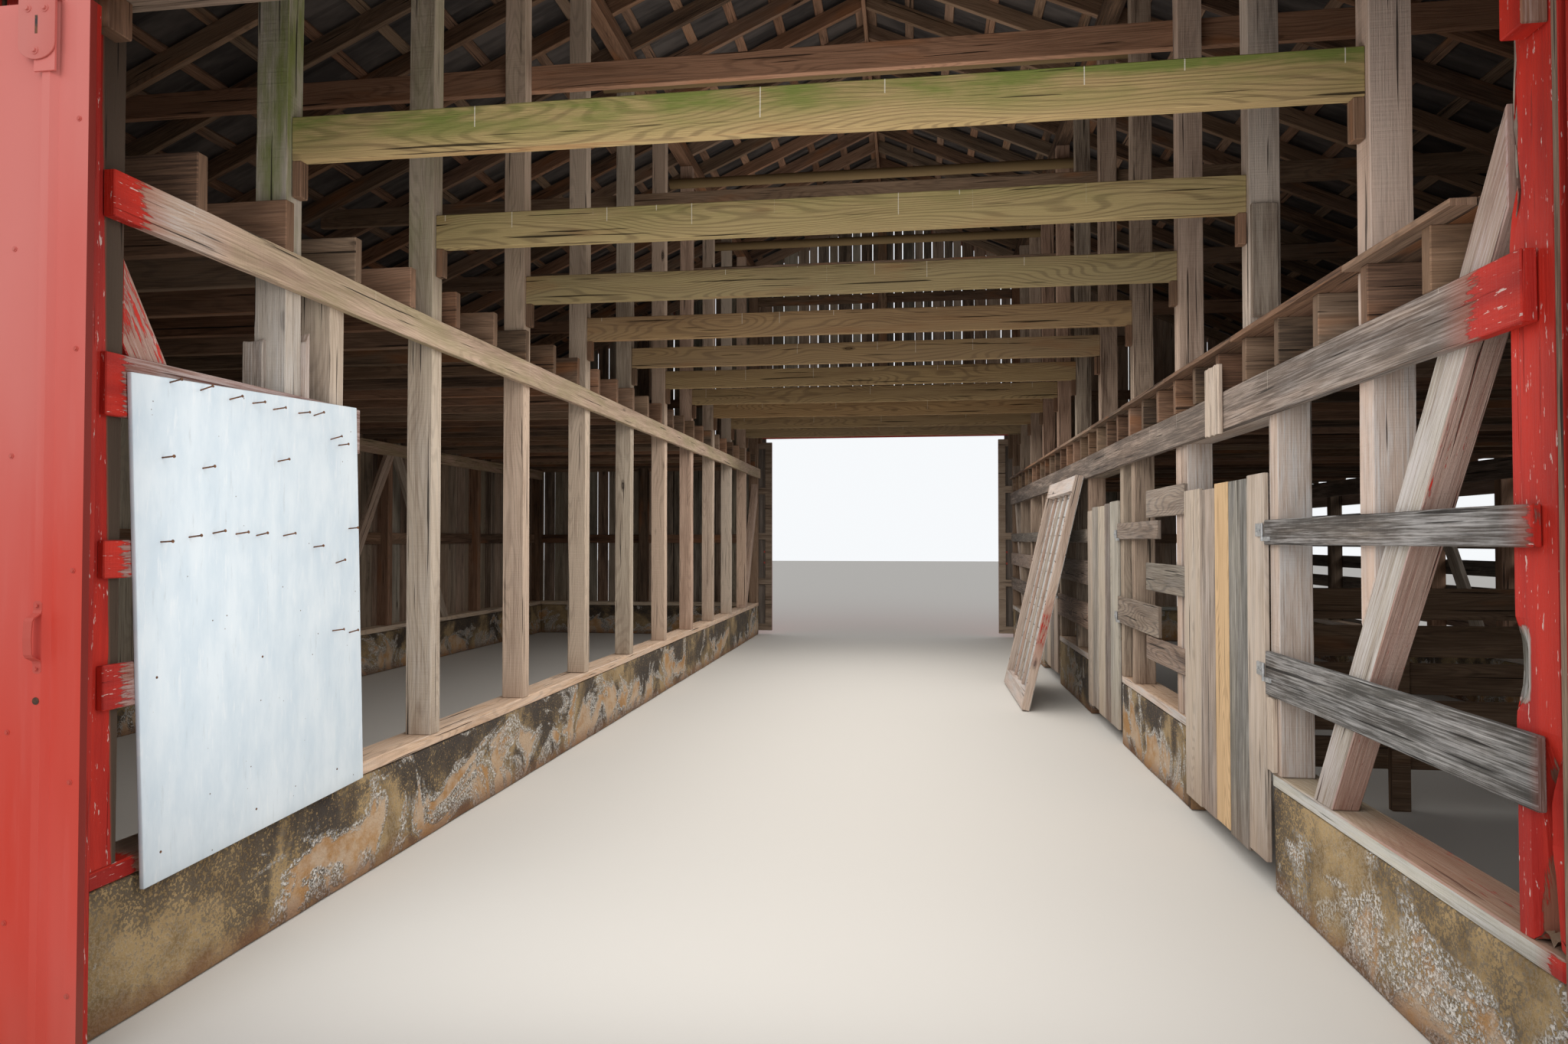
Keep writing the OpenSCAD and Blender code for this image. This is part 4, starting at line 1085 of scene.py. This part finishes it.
def stem_walls(node, seed):
    """Concrete walls with worn arrises and slightly uneven faces."""
    bm = clean_copy(node)
    soften(bm, 0.012, 2)
    for axis, step in ((ACROSS, 0.3), (ALONG, 0.16), (UP, 0.09)):
        cut_up(bm, axis, step)
    bm.normal_update()
    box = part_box(node)
    for v in bm.verts:
        swell = noise.noise(v.co * 1.3 + Vector((seed, 0, 0))) + 0.5 * noise.noise(v.co * 6.0)
        v.co = held_in(v.co - v.normal * 0.006 * (0.6 + swell), box)
    for face in bm.faces:
        face.smooth = True
    as_piece(bm, node + "_cast", "barn", [concrete], "concrete", node)


for number, node in enumerate(("aisle_stem_walls", "side_stem_walls", "end_stem_walls")):
    stem_walls(node, 3.0 * number)


def roof_cover():
    """The roof sheets, zinc above and near-black painted shade below."""
    bm = clean_copy("roof_sheets")
    bm.normal_update()
    for face in bm.faces:
        # faces that look down get the near-black underside: painted shade under the roof
        face.material_index = int(face.normal.z < -0.2)
    as_piece(bm, "roof_sheet_cover", "barn", [roof_steel, underside], "galvanised_steel", "roof_sheets")


roof_cover()
dress("ridge_cap", roof_steel)
dress("door_tracks", track_steel)
dress("roof_poles", pole_timber)
dress("stall_hinge_pins", zinc)
for leaf in LEAVES:
    dress(leaf + "_door", red_steel)


# Small ironwork

def rod(bm, centre, way, radius, length, sides=12, tip=None):
    """A round bar, or a cone where tip gives the radius of its far end. Returns its vertices."""
    made = bmesh.ops.create_cone(bm, cap_ends=True, segments=sides, radius1=radius,
                                 radius2=radius if tip is None else tip, depth=length)["verts"]
    turn = Vector(way).to_track_quat("Z", "Y").to_matrix().to_4x4()
    bmesh.ops.transform(bm, matrix=Matrix.Translation(Vector(centre)) @ turn, verts=made)
    return made


def bolt(bm, place, way, radius=0.008, head=0.006, washer=0.0):
    """A hexagon head, on a washer where it has one, standing on a face at place and pointing along way."""
    washer_thick = 0.002
    way = Vector(way)
    place = Vector(place)
    if washer:
        rod(bm, place + way * washer_thick / 2, way, washer, washer_thick, 16)
    rod(bm, place + way * (washer_thick / 2 + head / 2), way, radius, head, 6, radius * 0.93)


def tube(bm, centre, inner, outer, length):
    """An upright tube, spun from its section."""
    x, y, z = centre
    ring = [bm.verts.new((x + r, y, z + h)) for r, h in
            ((inner, -length / 2), (outer, -length / 2), (outer, length / 2), (inner, length / 2))]
    edges = [bm.edges.new((ring[i], ring[(i + 1) % 4])) for i in range(4)]
    bmesh.ops.spin(bm, geom=ring + edges, cent=centre, axis=(0, 0, 1), angle=math.tau, steps=20,
                   use_merge=True, use_duplicate=False)


@contextmanager
def new_faces_get(bm, index):
    """Gives the faces made inside the block the finish with that index."""
    before = set(bm.faces)
    yield
    for face in bm.faces:
        if face not in before:
            face.material_index = index


# Stall doors

BOARD_WIDTHS = (0.211, 0.257, 0.20, 0.259, 0.274)
BOARD_TONES = (0.75, 0.15, 1.0, 0.45, 0.9)
BOARD_GREYS = (0.5, 0.95, 0.0, 0.8, 0.2)
YELLOW_BOARD = 2
DOOR_CLEARANCE = 0.008
DOOR_BACK = 2.04
HINGE_HEIGHTS = (0.965, 1.585)


def strap_hinge(bm, start, height):
    """A knuckle round the pin at the door's near side, and its strap with two bolts."""
    knuckle = height + 0.01
    tube(bm, (2.008, start + 0.004, knuckle), 0.0043, 0.0062, 0.059)
    box_in(bm, (2.0082, start + 0.0105, height - 0.019), (2.0145, start + 0.087, height + 0.039))
    for along in (0.032, 0.066):
        bolt(bm, (2.0082, start + along, knuckle), (-1, 0, 0), 0.0065, 0.0045)


def stall_door(number, start):
    """Upright boards on two battens, with two strap hinges at the near side."""
    rng = random.Random(70 + number)
    node = "stall_door_%d" % number
    bm = bmesh.new()
    at = start + DOOR_CLEARANCE
    end = start + STALL_OPENING - DOOR_CLEARANCE
    widths = list(BOARD_WIDTHS)
    if number > 1:
        rng.shuffle(widths)
    share = (end - at) / sum(widths)
    middles = []
    for i, width in enumerate(widths):
        width *= share
        gap = rng.uniform(0.006, 0.012) if i < len(widths) - 1 else 0.0
        top = 1.85 - (0.06 * i / len(widths)) * rng.uniform(0.3, 1.0)
        thin = rng.uniform(0.0, 0.003)
        foot = 0.1 + rng.uniform(0, 0.025)
        box_in(bm, (2.015 + thin, at, foot), (DOOR_BACK, at + width - gap, top))
        middles.append(at + width / 2)
        at += width
    for low, high in ((0.35, 0.47), (1.50, 1.62)):
        box_in(bm, (DOOR_BACK, start + 0.068, low), (DOOR_BACK + 0.025, end - 0.06, high))
    soften(bm, 0.003)
    cut_up(bm, UP, 0.2)
    bm.normal_update()

    def tell(middle, low, high, rng):
        if high.y - low.y > 0.5:
            return dict(tone=0.4, grey=0.4, bend=0.0)
        i = min(range(len(middles)), key=lambda i: abs(middles[i] - middle.y))
        if number == 1 and i == YELLOW_BOARD:
            return dict(tone=1.0, grey=0.0, growth=0.0, bend=0.001)
        return dict(tone=BOARD_TONES[i], grey=BOARD_GREYS[i], growth=-0.35, bend=0.001,
                    dirt=lambda p, n: 0.55 * below(p, 0.45, 0.12))
    marks(bm, 70 + number, tell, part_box(node))
    for face in bm.faces:
        middle = face.calc_center_median()
        yellow = number == 1 and abs(middle.y - middles[YELLOW_BOARD]) < 0.11 and middle.x < DOOR_BACK
        face.material_index = 2 if yellow else 0
    for height in HINGE_HEIGHTS:
        with new_faces_get(bm, 1):
            strap_hinge(bm, start, height)
    bmesh.ops.recalc_face_normals(bm, faces=bm.faces)
    finishes = [door_boards, zinc, yellow_board_timber]
    as_piece(bm, node + "_boards", BODY_OF[node], finishes, "stall_boards", node)


for number, start in enumerate(STALL_STARTS, 1):
    stall_door(number, start)


# The panel that leans on the right ledger

def leaning_panel():
    """Battens and two cross boards on pale steel strips, made upright and then leant over."""
    box = low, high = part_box("leaning_panel")
    lean = math.radians(13)
    length = (2.1 + 0.025) / math.cos(lean)
    width = high.y - low.y
    foot = 1.9997 - length * math.sin(lean)
    rng = random.Random(81)
    bm = bmesh.new()
    strips = 12
    strip = (length - 0.003) / strips
    with new_faces_get(bm, 1):
        for i in range(strips):
            at = 0.002 + strip * i
            box_in(bm, (-0.004, 0, at), (0, width, at + strip - 0.006))
    for z in (0.003, length - 0.15):
        box_in(bm, (-0.069, 0.06, z), (-0.0045, width - 0.06, z + 0.146))
    last = 5
    step = (width - 0.06) / last
    battens = []
    for i in range(last + 1):
        start = i * step
        if 0 < i < last:
            deep = 0.028
            box_in(bm, (-deep, start, 0.1505), (-0.0045, start + 0.045, length - 0.1515))
        else:
            deep = 0.07
            box_in(bm, (-deep, start, 0.003), (-0.0045, start + 0.059, length - 0.002))
        battens.append((start + 0.024, deep))
    soften(bm, 0.003)
    cut_up(bm, UP, 0.25)
    bm.normal_update()

    def tell(middle, low, high, rng):
        if high.y - low.y > 0.5:
            return dict(tone=0.9, grey=0.7, growth=-0.9, bend=0.0)
        red_stain = (lambda p, n: 0.60 * hill(p.z, 0.5, 1.0, 0.2)) if middle.y < 0.1 else 0.0
        return dict(tone=rng.uniform(0.5, 1.0), grey=rng.uniform(0.1, 0.4), growth=-0.2, bend=0.0,
                    paint=red_stain)
    marks(bm, 81, tell, ((-1, -1, -1), (3, 3, 3)), 0.0)
    with new_faces_get(bm, 2):
        for middle, deep in battens:
            for z in (0.25, 0.62, 0.99, 1.36, 1.73, 2.02):
                y = middle + rng.uniform(-0.008, 0.008)
                bolt(bm, (-deep, y, z + rng.uniform(-0.02, 0.02)), (-1, 0, 0), 0.006, 0.003)
    place = Matrix.Translation((foot, low.y, 0)) @ Matrix.Rotation(lean, 4, "Y")
    bmesh.ops.transform(bm, matrix=place, verts=bm.verts)
    bmesh.ops.recalc_face_normals(bm, faces=bm.faces)
    for v in bm.verts:
        v.co = held_in(v.co, box)
    finishes = [batten_timber, panel_steel, iron]
    as_piece(bm, "leaning_panel_battens", "barn", finishes, "panel_battens", "leaning_panel")


leaning_panel()


# The white board and its nails

BOARD_FACE = -2.0
NAILS = (
    (-6.041, 2.078), (-5.905, 2.073), (-5.764, 2.062), (-5.644, 2.066), (-5.529, 2.058), (-5.378, 2.064),
    (-5.280, 2.067), (-6.069, 1.823), (-5.890, 1.801), (-5.499, 1.858), (-6.071, 1.543), (-5.949, 1.559),
    (-5.839, 1.573), (-5.725, 1.571), (-5.616, 1.566), (-5.463, 1.566), (-5.272, 1.520), (-5.165, 1.98),
    (-5.11, 1.96), (-5.03, 1.60), (-5.12, 1.45), (-5.14, 1.16), (-5.02, 1.14))
FLUSH_NAILS = ((-6.080, 1.097), (-5.575, 1.103), (-6.055, 0.518), (-5.10, 0.56), (-5.6, 0.53))


def white_board():
    """The board hangs a little out of level, and its face is slightly dented."""
    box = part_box("notice_board")
    bm = bmesh.new()
    box_in(bm, (-0.009, -0.61, -0.835), (0.009, 0.61, 0.835))
    soften(bm, 0.003, 2)
    for axis in (ALONG, UP):
        cut_up(bm, axis, 0.09)
    middle = Matrix.Translation((-2.0057, -5.55, 1.28))
    bmesh.ops.transform(bm, matrix=middle @ Matrix.Rotation(math.radians(2.6), 4, "X"), verts=bm.verts)
    bm.normal_update()
    for v in bm.verts:
        dent = 0.0012 * (noise.noise(v.co * 3.0) - 0.2)
        if v.normal.x > 0.5:
            v.co.x += min(0.0, dent)
        v.co = held_in(v.co, box)
    for face in bm.faces:
        face.smooth = True
    as_piece(bm, "white_board_panel", "barn", [white_paint], "white_board", "notice_board")


def board_nails():
    """Nails to hang things on, standing out of the white board, and the heads that hold it."""
    rng = random.Random(82)
    bm = bmesh.new()
    for y, z in NAILS:
        way = Vector((1, rng.uniform(-0.16, 0.16), rng.uniform(0.05, 0.3))).normalized()
        foot = Vector((BOARD_FACE, y, z))
        rod(bm, foot + way * 0.026, way, 0.0028, 0.052, 8)
        rod(bm, foot + way * 0.0525, way, 0.0056, 0.0022, 10)
    for y, z in FLUSH_NAILS:
        rod(bm, (BOARD_FACE + 0.0025, y, z), (1, 0, 0), 0.006, 0.003, 10, 0.004)
    as_piece(bm, "white_board_nails", "barn", [rusty_nail], "hinge_steel")


white_board()
board_nails()


# Trim, handles and hanger plates of the sliding doors

LEAF_FACE = 6.415
LEAF_WIDTH = 2.09
LEAF_FOOT = 0.062
LEAF_TOP = 3.158
FIRST_RIB = 0.129
RIB_PITCH = 0.229
RIB_OUT = 0.0195
IRON, STEEL, SHADED_RETURN = 1, 2, 3
# The bent strap of a handle from its lower end: height, and distance out from the face.
HANDLE_PATH = ((1.158, 0.0195), (1.186, 0.0195), (1.194, 0.022), (1.206, 0.044), (1.216, 0.050),
               (1.264, 0.053), (1.313, 0.050), (1.323, 0.044), (1.335, 0.022), (1.343, 0.0195),
               (1.371, 0.0195))


class Leaf:
    """The outer face of one sliding leaf. side is -1 for a left leaf and 1 for a right one, end is -1 at
    the near end, and edge is the distance of the leaf's open edge from the barn's middle."""

    def __init__(self, side, end, edge):
        self.bm = bmesh.new()
        self.side = side
        self.end = end
        self.edge = edge
        self.outwards = (0, end, 0)

    def at(self, x, out, z):
        """x from the open edge outwards, out from the face of the leaf's frame, z up."""
        return Vector((self.side * (self.edge + x), self.end * (LEAF_FACE + out), z))

    def plate(self, a, b, soft):
        """A flat plate between two corners, with its edges taken off."""
        a, b = self.at(*a), self.at(*b)
        low = [min(a[i], b[i]) for i in range(3)]
        high = [max(a[i], b[i]) for i in range(3)]
        made = box_in(self.bm, low, high)
        bevel(self.bm, once(e for v in made for e in v.link_edges), soft)

    def bolts(self, places, out, radius, head, washer=0.0):
        for x, z in places:
            bolt(self.bm, self.at(x, out, z), self.outwards, radius, head, washer)

    def edge_trim(self):
        """The folded trim along the open edge. Its return towards the aisle is a darker red, painted shade.
        """
        with new_faces_get(self.bm, STEEL):
            self.plate((-0.0012, 0.0022, LEAF_FOOT), (0.047, 0.0036, LEAF_TOP), 0.0004)
        # the return: darker red as painted shade
        with new_faces_get(self.bm, SHADED_RETURN):
            self.plate((-0.0014, -0.020, LEAF_FOOT), (-0.0002, 0.0036, LEAF_TOP), 0.0004)
        self.bolts([(0.03, z) for z in (0.22, 0.841, 1.46, 2.115, 2.8)], 0.0036, 0.0055, 0.004, 0.008)

    def sheet_bolts(self):
        """Rows of bolts between the ribs."""
        between = [FIRST_RIB + RIB_PITCH * number - 0.115 for number in range(1, 9, 2)]
        for z in (0.42, 0.98, 1.80, 2.42):
            self.bolts([(x, z) for x in between], 0.002, 0.0055, 0.004, 0.008)

    def handle(self):
        """A bent strap with a bolt at each end, on the first rib."""
        bm = self.bm
        thick = 0.0035
        rows = [[bm.verts.new(self.at(FIRST_RIB + dx, out, z)) for dx in (-0.014, -0.007, 0.007, 0.014)]
                for z, out in HANDLE_PATH]
        strip = [bm.faces.new((row[j], row[j + 1], upper[j + 1], upper[j]))
                 for row, upper in zip(rows, rows[1:]) for j in range(3)]
        for row, rounding in ((rows[0], 0.006), (rows[-1], -0.006)):
            for v in (row[0], row[3]):
                v.co.z += rounding
        bmesh.ops.recalc_face_normals(bm, faces=strip)
        if strip[0].normal.y * self.end < 0:
            bmesh.ops.reverse_faces(bm, faces=strip)
        bmesh.ops.solidify(bm, geom=strip, thickness=thick)
        self.bolts([(FIRST_RIB, z) for z in (1.172, 1.357)], RIB_OUT + thick, 0.006, 0.003)

    def keyhole(self):
        """The round cover of a keyhole, under the handle."""
        with new_faces_get(self.bm, IRON):
            rod(self.bm, self.at(FIRST_RIB + 0.002, 0.0200, 1.078), self.outwards, 0.011, 0.0012, 18)

    def hanger_plate(self, x):
        """A plate over a hanger, round below, with three bolts and a slot."""
        bm = self.bm
        out = 0.0255
        thick = 0.005
        half = 0.062
        top, bend = 3.163, 3.02
        arc = [math.pi * k / 12 for k in range(1, 12)]
        outline = [(-half, top), (-half, bend)]
        outline += [(-half * math.cos(a), bend - half * 0.75 * math.sin(a)) for a in arc]
        outline += [(half, bend), (half, top)]
        before = set(bm.faces)
        flat = bm.faces.new([bm.verts.new(self.at(x + dx, out, z)) for dx, z in outline])
        grown = bmesh.ops.extrude_face_region(bm, geom=[flat])["geom"]
        outer = [g for g in grown if isinstance(g, bmesh.types.BMVert)]
        bmesh.ops.translate(bm, vec=Vector(self.outwards) * thick, verts=outer)
        new = [f for f in bm.faces if f not in before]
        bmesh.ops.recalc_face_normals(bm, faces=new)
        bevel(bm, sharp(once(e for f in new for e in f.edges), 0.8), 0.001)
        places = [(x + dx, z) for dx, z in ((-0.028, 3.125), (0.03, 3.127), (0.004, 3.0))]
        self.bolts(places, out + thick, 0.0075, 0.006, 0.012)
        with new_faces_get(bm, IRON):
            self.plate((x - 0.0045, out + 0.0049, 3.05), (x + 0.0045, out + 0.0054, 3.105), 0.0001)


def leaf_fittings(name, side, end, edge):
    leaf = Leaf(side, end, edge)
    leaf.edge_trim()
    leaf.sheet_bolts()
    leaf.handle()
    leaf.hanger_plate(FIRST_RIB + 0.023)
    leaf.hanger_plate(LEAF_WIDTH - FIRST_RIB - 0.023)
    leaf.keyhole()
    bmesh.ops.recalc_face_normals(leaf.bm, faces=leaf.bm.faces)
    finishes = [fitting_steel, iron, red_steel, shaded_trim]
    as_piece(leaf.bm, name + "_fittings", name + "_leaf", finishes, "red_steel")


leaf_fittings("near_left", -1, -1, 1.945)
leaf_fittings("near_right", 1, -1, 2.04)
leaf_fittings("far_left", -1, 1, 1.83)
leaf_fittings("far_right", 1, 1, 1.83)


# Floor, light and camera

DAYLIGHT = (1.0, 1.0, 1.0)
WARM = (1.0, 0.97, 0.92)
# name, place, what it points at, size, power, colour
LAMPS = (
    ("front_softbox", (-2.0, -17.0, 7.0), (0, -3, 1.5), (9, 6), 330, DAYLIGHT),
    ("side_softbox", (15.0, -9.0, 9.0), (2, -2, 1.5), (8, 6), 350, DAYLIGHT),
    ("doorway_light", (0.0, -6.34, 1.8), (0, 0, 1.8), (3.4, 2.2), 52, WARM),
    ("aisle_fill", (0.0, -0.5, 3.0), (0, -0.5, 0), (3.2, 9.0), 205, WARM),
    ("loft_fill", (0.0, -0.5, 3.6), (0, -0.5, 6.0), (3.0, 9.0), 66, WARM),
)
SENSOR_WIDTH = 36.0
PHOTO_WIDTH = 2048.0
FOCAL_LENGTH_PX = 1220.0


def lamp(name, place, aim, size, power, colour):
    data = bpy.data.lights.new(name, "AREA")
    data.shape = "RECTANGLE"
    data.size, data.size_y = size
    data.energy = power
    data.color = colour
    light = put_in_scene(name, data)
    light.location = place
    light.rotation_euler = (Vector(aim) - Vector(place)).to_track_quat("-Z", "Y").to_euler()
    light.visible_camera = False


def pale_floor():
    bm = bmesh.new()
    bmesh.ops.create_grid(bm, x_segments=8, y_segments=8, size=60)
    mesh = bpy.data.meshes.new("floor")
    bm.to_mesh(mesh)
    bm.free()
    mesh.materials.append(Finish("pale_floor", 0.9).finish((0.66, 0.64, 0.61)))
    put_in_scene("floor", mesh)


def daylight():
    """Even light from all round, and a paler sky that shows behind the barn and in its metal."""
    world = bpy.data.worlds.new("studio")
    bpy.context.scene.world = world
    world.use_nodes = True
    tree = world.node_tree
    back = tree.nodes["Background"]
    back.inputs["Color"].default_value = (*DAYLIGHT, 1)
    back.inputs["Strength"].default_value = 0.6
    seen = tree.nodes.new("ShaderNodeBackground")
    seen.inputs["Color"].default_value = (0.93, 0.95, 0.97, 1)
    seen.inputs["Strength"].default_value = 1.0
    path = tree.nodes.new("ShaderNodeLightPath")
    pick = tree.nodes.new("ShaderNodeMixShader")
    shown = path.outputs["Is Camera Ray"]
    for ray in ("Is Glossy Ray", "Is Transmission Ray"):
        either = tree.nodes.new("ShaderNodeMath")
        either.operation = "MAXIMUM"
        tree.links.new(shown, either.inputs[0])
        tree.links.new(path.outputs[ray], either.inputs[1])
        shown = either.outputs[0]
    tree.links.new(shown, pick.inputs[0])
    tree.links.new(back.outputs[0], pick.inputs[1])
    tree.links.new(seen.outputs[0], pick.inputs[2])
    tree.links.new(pick.outputs[0], tree.nodes["World Output"].inputs[0])


def photo_camera():
    """The camera that took the photo: eye height, in front of the near doorway."""
    data = bpy.data.cameras.new("camera")
    data.sensor_width = SENSOR_WIDTH
    data.lens = SENSOR_WIDTH * FOCAL_LENGTH_PX / PHOTO_WIDTH
    data.clip_end = 200
    camera = put_in_scene("camera", data)
    camera.location = (0.47, -8.855, 1.55)
    camera.rotation_euler = (math.radians(91.1), 0, math.radians(7.84))
    bpy.context.scene.camera = camera


pale_floor()
daylight()
for row in LAMPS:
    lamp(*row)
photo_camera()
bpy.context.scene.view_settings.view_transform = "Standard"
